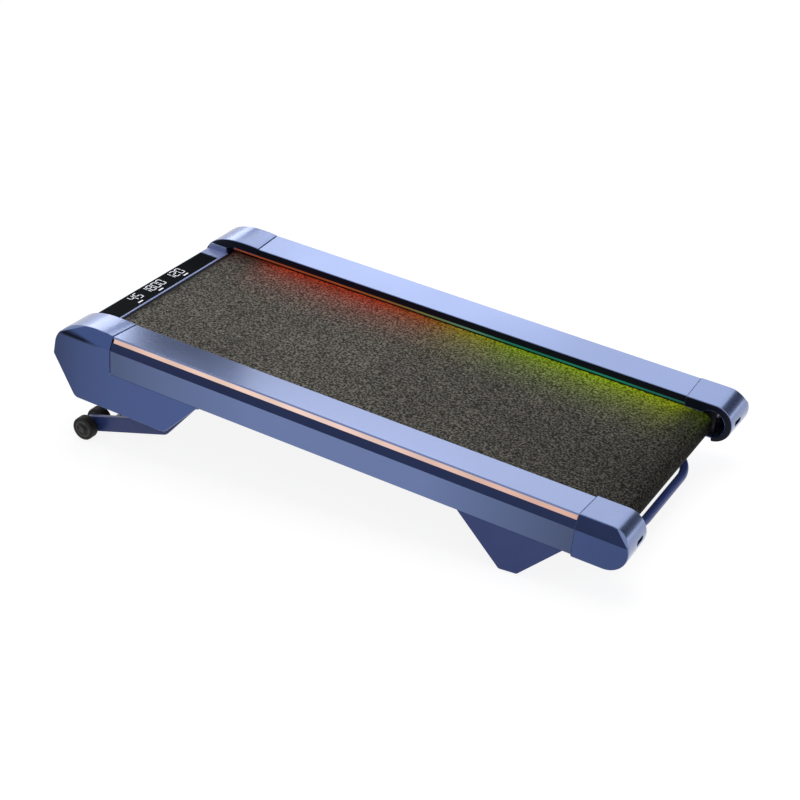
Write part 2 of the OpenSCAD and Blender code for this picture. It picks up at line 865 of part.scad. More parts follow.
// Rocker on its cross pin, tilted to off
module switch_rocker() {
    color([0.7, 0.1, 0.1])
        translate([port_x - 1, switch_y, port_z])
            rotate([0, -rocker_tilt, 0]) {
                block(-4, 3, -7.2, 7.2, -4.4, 4.4);
                rod_y(0, 0, -7.4, 7.4, 1.5);
            }
}

// Bolt that pulls the rear roller's shaft back to tighten the belt
module tension_bolts() {
    y0 = tube_y0 + tube_t;
    y1 = tube_y1 - tube_t;
    end = rail_l + 50;
    color(steel)
        both() {
            // Slider that carries the shaft inside the side tube
            difference() {
                block(rear_roller_x - 10, rear_roller_x + 10, y0 + 0.2, y1 - 0.2, tube_t + 0.1, tube_h - tube_t - 0.1);
                rod_y(rear_roller_x, roller_z, y0 - 1, y1 + 1, shaft_r + 0.05);
            }
            rod_x(rear_roller_x + 10 - eps, end, bolt_y, bolt_z, 3);
            difference() {
                rod_x(end, end + 8, bolt_y, bolt_z, 5.5);
                translate([end + 4, bolt_y, bolt_z])
                    rotate([0, 90, 0])
                        cylinder(h = 5, r = 2.6, $fn = 6);
            }
            difference() {
                block(end - 4, end, y0, y1, tube_t, tube_h - tube_t);
                rod_x(end - 5, end + 1, bolt_y, bolt_z, 3.2);
            }
        }
}

// Lift arm

arm_r = arm_h / 2;

// Plate that follows two limbs from the pivot over the elbow to the wheel axle
module lift_arm() {
    q = [pivot_x, pivot_z];
    e = [elbow_x, elbow_z];
    w = [wheel_x, wheel_z];
    a = unit(e - q);
    b = unit(w - e);
    na = [-a[1], a[0]] * arm_r;
    nb = [-b[1], b[0]] * arm_r;
    m = unit(na + nb) * arm_r / cos(acos(a * b) / 2);
    r = arm_r - 0.2;
    color(dark_blue)
        difference() {
            along_y(arm_y0, arm_y1)
                polygon(rounded([q - a * arm_r + na, e + m, w + b * arm_r + nb, w + b * arm_r - nb, e - m,
                    q - a * arm_r - na], [r, 20, r, r, 24, r], 10));
            rod_y(wheel_x, wheel_z, arm_y0 - 1, arm_y1 + 1, axle_r + 0.04);
        }
}

cross_r = 10;

module lift_cross_tube() {
    color(dark_blue)
        difference() {
            rod_y(cross_x, cross_z, -arm_y0, arm_y0, cross_r);
            rod_y(cross_x, cross_z, -arm_y0 - 1, arm_y0 + 1, cross_r - 2);
        }
}

// Tube that the arms turn on, with the actuator's lever and its pin
module lift_torque_tube() {
    color(steel)
        difference() {
            union() {
                rod_y(pivot_x, pivot_z, -arm_y0, arm_y0, torque_r);
                translate([pivot_x, 0, pivot_z])
                    rotate([0, -fold_angle / 2, 0])
                        along_y(-4, 4)
                            polygon(rounded([[-8, 0], [8, 0], [8, -lever_l - 8], [-8, -lever_l - 8]], [0, 0, 7.8, 7.8]));
                rod_y(pin_x, pin_z, -fork_h, fork_h, 4);
            }
            rod_y(pivot_x, pivot_z, -arm_y0 - 1, arm_y0 + 1, torque_r - 3);
        }
}

bracket_y = arm_y0 - 7;

// Bracket under each side tube that holds the pivot bush
module pivot_brackets() {
    color(black)
        both()
            difference() {
                union() {
                    block(pivot_x - 22, pivot_x + 22, tube_y0, tube_y1, -3, 0);
                    block(pivot_x - 20, pivot_x + 20, bracket_y, bracket_y + 5, pivot_z, -3 + eps);
                    rod_y(pivot_x, pivot_z, bracket_y, bracket_y + 5, 20);
                }
                rod_y(pivot_x, pivot_z, bracket_y - 1, bracket_y + 6, bush_r);
                block(pivot_x - 30, pivot_x + 30, bracket_y - 1, bracket_y + 6, 0, 20);
            }
}

module pivot_bushes() {
    color([0.75, 0.72, 0.6])
        both()
            difference() {
                rod_y(pivot_x, pivot_z, bracket_y, bracket_y + 5, bush_r - 0.02);
                rod_y(pivot_x, pivot_z, bracket_y - 1, bracket_y + 6, torque_r + 0.06);
            }
}

tube_end = 126;

// Motor, gearbox and guide tube of the lift actuator
module lift_actuator() {
    color([0.3, 0.31, 0.34])
        difference() {
            union() {
                rod_x(-20, gear_x0 + eps, 0, pin_z, 15.5);
                block(gear_x0, gear_x1, -gear_half, gear_half, pin_z - 15.5, pin_z + gear_half);
                rod_x(gear_x1 - eps, tube_end, 0, pin_z, 12);
            }
            rod_x(48, tube_end + 1, 0, pin_z, rod_r + 0.08);
        }
}

pin_rise = lever_l * (1 - cos(fold_angle / 2));

// Push rod and its fork, whose upright slots let the lever's pin rise and fall
module lift_rod() {
    color(steel)
        difference() {
            union() {
                rod_x(70, pin_x - 13, 0, pin_z, rod_r);
                block(pin_x - 18, pin_x + 9, -fork_h, fork_h, pin_z - fork_h, pin_z + fork_h);
            }
            block(pin_x - 12, pin_x + 10, -4.5, 4.5, pin_z - fork_h - 1, pin_z + fork_h + 1);
            block(pin_x - 4.3, pin_x + 4.3, -fork_h - 1, fork_h + 1, pin_z - pin_rise - 4.4, pin_z + 4.5);
        }
}

tyre_r = 16;

// Wheel with its hub on the axle and a tyre round the hub, from y0 outwards
module wheel(y0) {
    color([0.32, 0.3, 0.29])
        difference() {
            union() {
                rod_y(wheel_x, wheel_z, y0 + 1, y0 + wheel_w - 1, tyre_r - 0.1);
                rod_y(wheel_x, wheel_z, y0, y0 + wheel_w, 7);
            }
            rod_y(wheel_x, wheel_z, y0 - 1, y0 + wheel_w + 1, axle_r + 0.05);
        }
    color(black)
        difference() {
            rod_y(wheel_x, wheel_z, y0, y0 + wheel_w, wheel_r);
            rod_y(wheel_x, wheel_z, y0 - 1, y0 + wheel_w + 1, tyre_r);
        }
}

module wheel_axles() {
    color(steel)
        both() {
            rod_y(wheel_x, wheel_z, inner_wheel_y - 2.5, outer_wheel_y + wheel_w + 2.5, axle_r);
            rod_y(wheel_x, wheel_z, inner_wheel_y - 2.5, inner_wheel_y - wheel_gap, 6.5);
            rod_y(wheel_x, wheel_z, outer_wheel_y + wheel_w + wheel_gap, outer_wheel_y + wheel_w + 2.5, 6.5);
            rod_y(wheel_x, wheel_z, arm_y0 - collar_l, arm_y0, 7);
            rod_y(wheel_x, wheel_z, arm_y1, arm_y1 + collar_l, 7);
        }
}

// Rear feet and the rubber pads that meet the floor

foot_w = 46;
sole_l = 34;
sole_dir = [cos(incline), sin(incline)];
sole_mid = [foot_x, -foot_h];
sole_a = sole_mid - sole_dir * sole_l / 2;
sole_b = sole_mid + sole_dir * sole_l / 2;

function foot_outline(t) =
    rounded([[foot_x - 106 + 1.9 * t, -t], [foot_x + foot_rear - 1.9 * t, -t],
        sole_b + [-0.6 * t, t], sole_a + [0.6 * t, t]], [0, 0, 6 - t, 6 - t]);

module rear_foot() {
    color(dark_blue)
        difference() {
            along_y(side_y - foot_w, side_y - 0.5)
                polygon(foot_outline(0));
            along_y(side_y - foot_w + 4, side_y - 4.5)
                polygon(foot_outline(4));
        }
}

pad_in = 8;

module floor_pads() {
    color(black)
        both() {
            along_y(side_y - foot_w + 3, side_y - pad_in)
                polygon([sole_a + sole_dir * 2, sole_b - sole_dir * 2,
                    sole_b - sole_dir * 3 + pad_out * [sole_dir[1], -sole_dir[0]],
                    sole_a + sole_dir * 3 + pad_out * [sole_dir[1], -sole_dir[0]]]);
            block(-25, leg_back - 105, foot_block_y + 2, side_y - pad_in, -leg_h - pad_out, -leg_h);
        }
}

// Carry handle: a bent bar whose legs are bolted under the rear beam

// Outline of the handle's outer edge, drawn t smaller
function handle_outline(t) =
    let (
        c = [handle_x1 - handle_round, handle_w / 2 - handle_round],
        r = handle_round - t,
        a = acos((rear_beam_x0 - 12 - c[0]) / r)
    )
    concat(arc([c[0], -c[1]], r, -a, 0, 14), arc(c, r, 0, a, 14));

module carry_handle() {
    outer = handle_outline(0);
    inner = handle_outline(handle_bar);
    color(dark_blue)
        translate([0, 0, handle_z0])
            linear_extrude(handle_z1 - handle_z0)
                polygon(concat(outer, [for (i = [len(inner) - 1:-1:0]) inner[i]]));
}

placed() left() side_tube();  // side_tube_left
placed() side_tube();  // side_tube_right
placed() cross_tube(cross_x_front);  // cross_tube_front
placed() cross_tube(cross_x_middle);  // cross_tube_middle
placed() cross_tube(cross_x_rear);  // cross_tube_rear
placed() lift_beam();
placed() rear_beam();
placed() deck_board();
placed() deck_cushions();
placed() deck_screws();
placed() left() rail();  // rail_left
placed() rail();  // rail_right
placed() left() outer_light();  // outer_light_left
placed() outer_light();  // outer_light_right
placed() left() inner_light();  // inner_light_left
placed() inner_light();  // inner_light_right
placed() left() front_housing();  // front_housing_left
placed() front_housing();  // front_housing_right
placed() left() rear_cap();  // rear_cap_left
placed() rear_cap();  // rear_cap_right
placed() bridge_cover();
placed() display_glass();
placed() display_digits();
placed() display_board();
placed() belly_tray();
placed() underside_cover();
placed() walking_belt();
placed() roller(front_roller_x);  // front_roller
placed() roller_shaft(front_roller_x);  // front_roller_shaft
placed() front_roller_pulley();
placed() roller(rear_roller_x);  // rear_roller
placed() roller_shaft(rear_roller_x);  // rear_roller_shaft
placed() roller_bearings();
placed() drive_motor();
placed() motor_rotor();
placed() motor_pulley();
placed() drive_belt();
placed() motor_bracket();
placed() controller_box();
placed() power_inlet();
placed() power_switch();
placed() switch_rocker();
placed() tension_bolts();
placed() left() lift_arm();  // lift_arm_left
placed() lift_arm();  // lift_arm_right
placed() lift_cross_tube();
placed() lift_torque_tube();
placed() pivot_brackets();
placed() pivot_bushes();
placed() lift_actuator();
placed() lift_rod();
placed() left() wheel(outer_wheel_y);  // wheel_left_outer
placed() left() wheel(inner_wheel_y);  // wheel_left_inner
placed() wheel(outer_wheel_y);  // wheel_right_outer
placed() wheel(inner_wheel_y);  // wheel_right_inner
placed() wheel_axles();
placed() left() rear_foot();  // rear_foot_left
placed() rear_foot();  // rear_foot_right
placed() floor_pads();
placed() carry_handle();
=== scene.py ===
"""Looks of a walking pad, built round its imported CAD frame.

The pad stands nose up on its lift arm. Pieces are worked out in the pad's own axes, in millimetres: x runs back
from the seam between the front caps and the rails, y across towards the walker's right, z up from the rails'
bottom edge. to_frame() turns them into metres in the frame.
"""

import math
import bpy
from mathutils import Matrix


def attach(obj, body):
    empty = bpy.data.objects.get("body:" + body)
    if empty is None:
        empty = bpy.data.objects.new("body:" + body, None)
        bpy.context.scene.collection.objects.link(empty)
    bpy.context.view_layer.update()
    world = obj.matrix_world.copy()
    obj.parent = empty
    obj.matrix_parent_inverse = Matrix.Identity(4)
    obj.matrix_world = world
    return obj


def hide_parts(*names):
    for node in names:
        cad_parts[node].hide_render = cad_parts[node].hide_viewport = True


bl_info = {
    "name": "Walking pad",
    "version": (1, 0, 0),
    "blender": (4, 5, 0),
    "location": "View3D > Sidebar > Walking pad",
    "description": "Builds the visible pieces, finishes and studio of a walking pad",
    "category": "Object",
}

import bmesh
import bpy
import numpy as np
from mathutils import Matrix
from mathutils.geometry import tessellate_polygon

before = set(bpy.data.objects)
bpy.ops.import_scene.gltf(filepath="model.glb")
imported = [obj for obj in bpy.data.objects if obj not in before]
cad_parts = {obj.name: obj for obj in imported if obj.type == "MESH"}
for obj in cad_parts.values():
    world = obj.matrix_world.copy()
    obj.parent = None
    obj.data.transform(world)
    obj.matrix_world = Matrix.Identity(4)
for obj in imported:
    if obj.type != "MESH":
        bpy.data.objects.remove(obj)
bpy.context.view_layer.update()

# ---- Sizes that the pieces share with the CAD source, in millimetres and degrees ----

RAIL_L, RAIL_W, RAIL_H, RAIL_SLOPE = 930.0, 79.0, 74.0, 4.8
BEVEL_Z, BEVEL_IN, RAIL_T = 49.0, 10.0, 2.5
BELT_W, BELT_COVER, BELT_T, BELT_LIP = 408.0, 3.0, 1.8, 3.4
ROLLER_R, ROLLER_Z, ROLLER_GAP = 22.2, 22.0, 0.1
FRONT_ROLLER_X, REAR_ROLLER_X = -49.0, 961.0
TUBE_W, TUBE_H, TUBE_IN = 30.0, 44.0, 28.0
NOSE, REAR_R, REAR_L, REAR_RISE = 130.0, 39.5, 56.5, 1.3
FOOT_X, FOOT_H, PAD_OUT = 825.0, 81.2, 3.1
PIVOT = np.array([154.0, -20.0])
UPPER_LIMB, UPPER_ANGLE = 99.5, math.radians(51.5)
LOWER_LIMB, LOWER_ANGLE = 174.3, math.radians(18.3)
ARM_IN, ARM_T, WHEEL_GAP = 11.0, 10.0, 6.0
WHEEL_R, WHEEL_W, AXLE_R = 23.0, 20.0, 4.0
HANDLE_W, HANDLE_X1, HANDLE_ROUND, HANDLE_BAR = 368.0, 990.0, 107.0, 16.0
HANDLE_Z0, HANDLE_Z1, HANDLE_X0 = -28.0, -16.0, 904.0
SEAM, END_GAP = 1.6, 0.5
LED_Z0, LED_Z1, LED_DEPTH, LED_X0 = 50.7, 54.7, 1.4, -58.0
LIGHT_W, LIGHT_DEPTH, LIGHT_BELOW = 8.0, 1.6, 3.0
SCREW_R, SCREW_H = 4.2, 2.2

INNER_Y = BELT_W / 2 - BELT_COVER
SIDE_Y = INNER_Y + RAIL_W
TUBE_Y1 = SIDE_Y - TUBE_IN
TUBE_Y0 = TUBE_Y1 - TUBE_W
INNER_TOP = RAIL_H - RAIL_SLOPE
BELT_IN_R = ROLLER_R + ROLLER_GAP
BELT_OUT_R = BELT_IN_R + BELT_T
LIP_Z = ROLLER_Z + BELT_OUT_R + BELT_LIP

ELBOW = PIVOT - UPPER_LIMB * np.array([math.cos(UPPER_ANGLE), math.sin(UPPER_ANGLE)])
WHEEL = ELBOW - LOWER_LIMB * np.array([math.cos(LOWER_ANGLE), math.sin(LOWER_ANGLE)])
OUTER_WHEEL_Y = TUBE_Y0 + ARM_IN + ARM_T + WHEEL_GAP
INNER_WHEEL_Y = TUBE_Y0 + ARM_IN - WHEEL_GAP - WHEEL_W

SPAN = np.array([FOOT_X, -FOOT_H - PAD_OUT]) - WHEEL
INCLINE = math.asin(WHEEL_R / float(np.hypot(*SPAN))) + math.atan2(SPAN[1], SPAN[0])
LIFT_Z = FOOT_X * math.sin(INCLINE) + FOOT_H * math.cos(INCLINE) + PAD_OUT
REAR_CX = RAIL_L - END_GAP + REAR_L
REAR_CZ = RAIL_H + REAR_RISE - REAR_R
SHIFT_X = -((REAR_CX - NOSE) * math.cos(INCLINE) + REAR_CZ * math.sin(INCLINE) + REAR_R) / 2

MM = 0.001

# Camera, found from the photograph's own lines: place in pad millimetres, and its axes right, down and forward
EYE = np.array([1689.90, -2442.99, 1615.07])
EYE_AXES = np.array([[0.8651, 0.4944, 0.0847], [0.3184, -0.4108, -0.8543], [-0.3876, 0.766, -0.5128]])
FOCAL_PX, IMAGE_PX, SENSOR_MM = 1723.036, 800, 36.0


# ---- Numbers to places ----


def to_frame(points):
    """Pad millimetres to metres in the frame: a turn by the incline about y, then the shift."""
    p = np.asarray(points, float)
    c, s = math.cos(INCLINE), math.sin(INCLINE)
    x, y, z = p[..., 0], p[..., 1], p[..., 2]
    return np.stack([x * c + z * s + SHIFT_X, y, z * c - x * s + LIFT_Z], -1) * MM


def turn_to_frame(vectors):
    """Directions in the pad's axes turned by the incline."""
    return (to_frame(vectors) - to_frame(np.zeros(3))) / MM


def mm(value):
    """A length property in metres as millimetres."""
    return value / MM


def linear(code):
    """sRGB hex code to linear colour: below 0.04045 a twelfth and a bit, above it a power of 2.4."""
    s = np.array([int(code[i:i + 2], 16) for i in (1, 3, 5)]) / 255
    return tuple(float(v) for v in np.where(s <= 0.04045, s / 12.92, ((s + 0.055) / 1.055) ** 2.4))


def unit(v):
    """Vectors divided by their lengths."""
    return v / np.maximum(np.linalg.norm(v, axis=-1, keepdims=True), 1e-12)


def round_corners(points, radii, count=7):
    """Closed outline with arcs for corners, the same number of points in each.

    An arc's centre lies on the corner's bisector, radius / sin(half the corner) away. Its spokes turn evenly from
    one tangent point to the other, as weights sin((1 - t) w) and sin(t w) over sin(w) of the first and last spoke.
    """
    p = np.asarray(points, float)
    r = np.asarray(radii, float)[:, None]
    u = unit(np.roll(p, 1, 0) - p)
    v = unit(np.roll(p, -1, 0) - p)
    half = np.arccos(np.clip((u * v).sum(1), -1, 1))[:, None] / 2
    centre = p + unit(u + v) * r / np.sin(half)
    first = p + u * r / np.tan(half) - centre
    last = p + v * r / np.tan(half) - centre
    w = np.maximum(np.pi - 2 * half, 1e-6)[:, None]
    t = np.linspace(0, 1, count)[None, :, None]
    spokes = (np.sin((1 - t) * w) * first[:, None] + np.sin(t * w) * last[:, None]) / np.sin(w)
    return (centre[:, None] + spokes).reshape(-1, 2)


def round_bar(width, height, radius, count):
    """Outline of a bar's section about its own middle, with round corners."""
    w, h = width / 2, height / 2
    return round_corners([[-w, -h], [w, -h], [w, h], [-w, h]], [radius] * 4, count)


def grid_faces(rows, cols, wrap_rows=False, wrap_cols=False):
    """Quads between the neighbours of a grid of points that is counted row by row."""
    i = np.arange(rows if wrap_rows else rows - 1)
    j = np.arange(cols if wrap_cols else cols - 1)
    a, b = np.meshgrid(i, j, indexing="ij")
    c, d = (a + 1) % rows, (b + 1) % cols
    return np.stack([a * cols + b, c * cols + b, c * cols + d, a * cols + d], -1).reshape(-1, 4)


def along_x(outline, stations, holes=()):
    """Bar along the pad: each closed (y, z) outline is repeated at every station, and the two ends are filled.

    Returns the points, the faces and, for each face, the number of the outline point that it starts at, or -1."""
    loops = [np.asarray(loop, float) for loop in (outline, *holes)]
    rows = len(stations)
    points, faces, marks, first, last, start = [], [], [], [], [], 0
    for loop in loops:
        n = len(loop)
        points.append(np.column_stack([np.repeat(stations, n), np.tile(loop, (rows, 1))]))
        quads = grid_faces(rows, n, wrap_cols=True)
        faces += (quads + start).tolist()
        marks.append(quads[:, 0] % n if start == 0 else np.full(len(quads), -1))
        first.append(start + np.arange(n))
        last.append(first[-1] + (rows - 1) * n)
        start += rows * n
    ends = np.array(tessellate_polygon([np.pad(loop, ((0, 0), (0, 1))).tolist() for loop in loops]))
    for rim in (first, last):
        faces += np.concatenate(rim)[ends].tolist()
    marks.append(np.full(2 * len(ends), -1))
    return np.concatenate(points), faces, np.concatenate(marks)


def along_path(centres, side, up, section):
    """Closed tube: at each centre the (side, up) section is laid along that place's two directions."""
    c, s, h = (np.asarray(a, float)[:, None] for a in (centres, side, up))
    k = np.asarray(section, float)[None]
    grid = c + s * k[..., :1] + h * k[..., 1:]
    rows, cols = grid.shape[:2]
    faces = grid_faces(rows, cols, wrap_cols=True).tolist()
    faces += [list(range(cols))[::-1], list(range((rows - 1) * cols, rows * cols))]
    return grid.reshape(-1, 3), faces


def turned(profile, x, z, segments=96):
    """Solid of revolution about an axis across the pad.

    The profile is a closed run of (y, radius) points, and the ring at angle a holds
    x + radius cos a, y, z + radius sin a."""
    a = np.linspace(0, 2 * np.pi, segments, endpoint=False)[:, None]
    y, r = profile[None, :, 0], profile[None, :, 1]
    grid = np.stack([x + r * np.cos(a), np.broadcast_to(y, (segments, len(profile))), z + r * np.sin(a)], -1)
    return grid.reshape(-1, 3), grid_faces(segments, len(profile), True, True).tolist()


def strip_seat():
    """The rail's outer bevel in (y, z): its low and high ends, the two edges of the light strip's seat on it,
    and the directions up the bevel and out of it."""
    low, high = np.array([SIDE_Y, BEVEL_Z]), np.array([SIDE_Y - BEVEL_IN, RAIL_H])
    along = unit(high - low)
    first = low + along * (np.linalg.norm(high - low) - LIGHT_W - LIGHT_BELOW)
    return low, high, first, first + along * LIGHT_W, along, np.array([along[1], -along[0]])


# ---- Meshes to pieces ----

FINISHES = {}
SIDES = (("left", True), ("right", False))


def placed(name, data):
    """New object with its data, in the scene."""
    obj = bpy.data.objects.new(name, data)
    bpy.context.scene.collection.objects.link(obj)
    return obj


def settle(mesh, merge=1e-7, collapse=1e-7, flat=0.0):
    """Merges doubled points, drops what collapses, joins faces that bend less than flat degrees and turns every
    closed shell's faces outwards."""
    bm = bmesh.new()
    bm.from_mesh(mesh)
    bmesh.ops.remove_doubles(bm, verts=bm.verts, dist=merge)
    bmesh.ops.dissolve_degenerate(bm, dist=collapse, edges=bm.edges)
    if flat:
        bmesh.ops.dissolve_limit(bm, angle_limit=math.radians(flat), verts=bm.verts, edges=bm.edges, delimit=set())
    bmesh.ops.recalc_face_normals(bm, faces=bm.faces)
    bm.to_mesh(mesh)
    bm.free()


def dress(name, mesh, finishes, body, nodes, sharp, edge=0.0, segments=3):
    """Makes a mesh a piece: its finishes by name, soft edges, even shading, and its ties to the frame."""
    obj = placed(name, mesh)
    for finish in finishes:
        mesh.materials.append(FINISHES[finish])
    mesh.polygons.foreach_set("use_smooth", np.ones(len(mesh.polygons), bool))
    mesh.set_sharp_from_angle(angle=math.radians(sharp))
    if edge:
        soft = obj.modifiers.new("Soft edges", "BEVEL")
        soft.width = edge * MM
        soft.segments = segments
        soft.limit_method = "ANGLE"
        soft.angle_limit = math.radians(sharp)
        soft.use_clamp_overlap = False
        soft.miter_outer = "MITER_ARC"
    even = obj.modifiers.new("Even shading", "WEIGHTED_NORMAL")
    even.keep_sharp = not edge
    even.weight = 60
    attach(obj, body)
    if nodes:
        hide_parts(*nodes)


def piece(name, points, faces, finishes, nodes=(), body="base", tones=None, sharp=40.0, mirror=False):
    """Piece from points in pad millimetres; tones gives each face the number of its finish."""
    mesh = bpy.data.meshes.new(name)
    mesh.from_pydata(to_frame(points * [1, -1 if mirror else 1, 1]).tolist(), [], faces)
    if tones is not None:
        mesh.polygons.foreach_set("material_index", tones.astype(np.int32))
    settle(mesh)
    dress(name, mesh, finishes, body, nodes, sharp)


def softened(name, node, finishes, edge, segments=2, sharp=30.0, body="base", tone=None):
    """Copy of a CAD node with its loose triangles merged, flat faces joined and its edges rounded.

    tone gets the faces' middles and normals and gives each face the number of its finish."""
    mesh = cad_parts[node].data.copy()
    mesh.name = name
    settle(mesh, 1e-4, 1e-5, 0.4)
    mesh.materials.clear()
    numbers = np.zeros(len(mesh.polygons), np.int32)
    if tone:
        middles, normals = np.empty((2, len(mesh.polygons), 3), np.float32)
        mesh.polygons.foreach_get("center", middles.ravel())
        mesh.polygons.foreach_get("normal", normals.ravel())
        numbers[:] = tone(middles, normals)
    mesh.polygons.foreach_set("material_index", numbers)
    dress(name, mesh, finishes, body, (node,), sharp, edge, segments)


def cap_tones(middles, normals, near=4.0):
    """2 for the faces that look at the belt from beside it, 3 for the outer side, 1 for the long bevel's lean.

    A face counts as one of these where its middle is near, in millimetres, the side's own plane."""
    side, reach = np.sign(middles[:, 1]), np.abs(middles[:, 1]) / MM
    outward = side * normals[:, 1]
    inner = (outward < -0.9) & (reach < INNER_Y + near)
    lean = turn_to_frame(unit(np.array([0.0, RAIL_H - BEVEL_Z, BEVEL_IN])))
    folded = np.stack([normals[:, 0], outward, normals[:, 2]], -1)
    bevel = (folded @ lean > 0.985) & (reach > SIDE_Y - BEVEL_IN - near)
    outer = (outward > 0.95) & (reach > SIDE_Y - near)
    return np.select([inner, bevel, outer], [2, 1, 3], 0)


# ---- Finishes ----


def wire(tree, node, inputs):
    """Fills a node's inputs: each gets a value, a socket that feeds it, or the first live output of a node."""
    for key, value in inputs.items():
        if isinstance(value, bpy.types.Node):
            value = next(out for out in value.outputs if out.enabled)
        if isinstance(value, bpy.types.NodeSocket):
            tree.links.new(value, node.inputs[key])
        else:
            node.inputs[key].default_value = value
    return node


def add(tree, kind, inputs=None, **settings):
    """Adds one shader node: settings are its own, inputs are what wire() takes."""
    node = tree.nodes.new(f"ShaderNode{kind}")
    for key, value in settings.items():
        setattr(node, key, value)
    return wire(tree, node, inputs or {})


def rgba(colour):
    """Opaque colour from a hex code or from linear red, green and blue."""
    return (*(linear(colour) if isinstance(colour, str) else colour), 1.0)


def start(name):
    """New material with its shader, and the coordinates of the object, which are the frame's own."""
    mat = bpy.data.materials.new(name)
    mat.use_nodes = True
    tree = mat.node_tree
    tree.nodes.clear()
    shader = add(tree, "BsdfPrincipled")
    add(tree, "OutputMaterial", {"Surface": shader})
    return mat, tree, shader, add(tree, "TexCoord").outputs["Object"]


def stops(node, colours):
    """Fills a colour ramp from (place, colour) pairs."""
    ramp = node.color_ramp
    while len(ramp.elements) < len(colours):
        ramp.elements.new(0.5)
    for element, (where, colour) in zip(ramp.elements, colours):
        element.position = where
        element.color = rgba(colour)
    return node


def pad_axis(tree, place, axis):
    """Millimetres along the pad (axis 0) or above its bottom edge (axis 2), from the frame's coordinates."""
    c, s = math.cos(INCLINE), math.sin(INCLINE)
    row = (c, 0.0, -s) if axis == 0 else (s, 0.0, c)
    turned_back = add(tree, "VectorMath", {0: place, 1: row}, operation="DOT_PRODUCT")
    return add(tree, "Math", {0: turned_back, 1: 1 / MM, 2: -SHIFT_X * row[0] - LIFT_Z * row[2]},
               operation="MULTIPLY_ADD")


def shares(tree, value, levels):
    """Grey that follows value through (millimetres, share) pairs."""
    low, high = levels[0][0], levels[-1][0]
    run = add(tree, "MapRange", {"Value": value, "From Min": low, "From Max": high})
    ramp = add(tree, "ValToRGB", {"Fac": run})
    return stops(ramp, [((at - low) / (high - low), (share,) * 3) for at, share in levels])


def rail_side_painted_shade(tree, place):
    """Painted shade along a rail's side: the share of the lacquer's colour that is left, deeper towards both ends."""
    return shares(tree, pad_axis(tree, place, 0), [
        (0, 0.50), (120, 0.75), (300, 1.0), (650, 1.0), (800, 0.70), (930, 0.45)])


def crease_painted_shade(tree, place):
    """Painted shade on a front cap, the share of the lacquer's colour that is left: a soft dark wedge along the
    crease between side and bevel, which stands in for a dark reflection.

    Over the crease its height falls from 19 mm at the nose to 3 mm near the seam, and below it is 5 mm."""
    x, z = pad_axis(tree, place, 0), pad_axis(tree, place, 2)
    height = add(tree, "MapRange", {"Value": x, "From Min": -110.0, "From Max": -30.0, "To Min": 19.0, "To Max": 3.0})
    over = add(tree, "Math", {0: z, 1: BEVEL_Z}, operation="SUBTRACT")
    above = add(tree, "Math", {0: over, 1: height}, operation="DIVIDE")
    below = add(tree, "Math", {0: over, 1: -1 / 5.0}, operation="MULTIPLY")
    part = add(tree, "Math", {0: above, 1: below}, operation="MAXIMUM")
    fall = add(tree, "MapRange", {"Value": part, "From Min": 0.1, "To Min": 1.0, "To Max": 0.0},
               interpolation_type="SMOOTHSTEP")
    along = shares(tree, x, [(-124, 0.0), (-106, 0.93), (-60, 0.93), (-36, 0.4), (-18, 0.0)])
    dark = add(tree, "Math", {0: fall, 1: along}, operation="MULTIPLY")
    return add(tree, "Math", {0: 1.0, 1: dark}, operation="SUBTRACT")


def cap_side_painted_shade(tree, place):
    """Painted shade on the caps' sides: the share of the lacquer's colour that is left, deeper towards the nose and
    the rear end, with the crease's dark wedge.
    """
    along = shares(tree, pad_axis(tree, place, 0), [
        (-130, 0.45), (-60, 0.76), (20, 0.90), (195, 1.0), (900, 0.85), (960, 0.72), (1030, 0.70)])
    return add(tree, "Math", {0: along, 1: crease_painted_shade(tree, place)}, operation="MULTIPLY")


def grained(name, colour, shade, grain, roughness, relief, metallic=0.0, ior=1.5, coat=0.0, stretch=(1, 1, 1),
            patch=60.0, speckle=0.0, gloss=0.5, painted_shade=None):
    """Painted, moulded or rolled finish.

    Wide soft patches of the noise turn colour towards shade and vary the roughness, and grain, the size in
    millimetres of the finest mark, drives the bump. stretch draws the grain out along an axis, and the last
    argument gives the share of the colour that is left at each place: a painted shade."""
    mat, tree, shader, place = start(name)
    scaled = add(tree, "Mapping", {"Vector": place, "Scale": stretch})
    wide = add(tree, "TexNoise", {"Vector": place, "Scale": 1 / (patch * MM), "Detail": 3.0, "Roughness": 0.6})
    fine = add(tree, "TexNoise", {"Vector": scaled, "Scale": 1 / (grain * MM), "Detail": 2.0, "Roughness": 0.55})
    result = add(tree, "Mix", {"Factor": wide, "A": rgba(colour), "B": rgba(shade)}, data_type="RGBA")
    if speckle:
        dots = add(tree, "MapRange", {
            "Value": fine, "From Min": 0.35, "From Max": 0.65, "To Min": 1.0 - speckle, "To Max": 1.0 + speckle})
        result = add(tree, "VectorMath", {0: result, "Scale": dots}, operation="SCALE")
    # Painted shade, where one is given
    if painted_shade:
        result = add(tree, "VectorMath", {0: result, 1: painted_shade(tree, place)}, operation="MULTIPLY")
    rough = add(tree, "MapRange", {
        "Value": wide, "From Min": 0.3, "From Max": 0.7, "To Min": roughness * 0.9, "To Max": roughness * 1.1})
    bump = add(tree, "Bump", {"Height": fine, "Strength": 0.5, "Distance": relief * MM})
    wire(tree, shader, {
        "Base Color": result, "Roughness": rough, "Normal": bump, "Metallic": metallic, "IOR": ior,
        "Specular IOR Level": gloss})
    if coat:
        wire(tree, shader, {"Coat Weight": coat, "Coat Roughness": 0.12})
    return mat


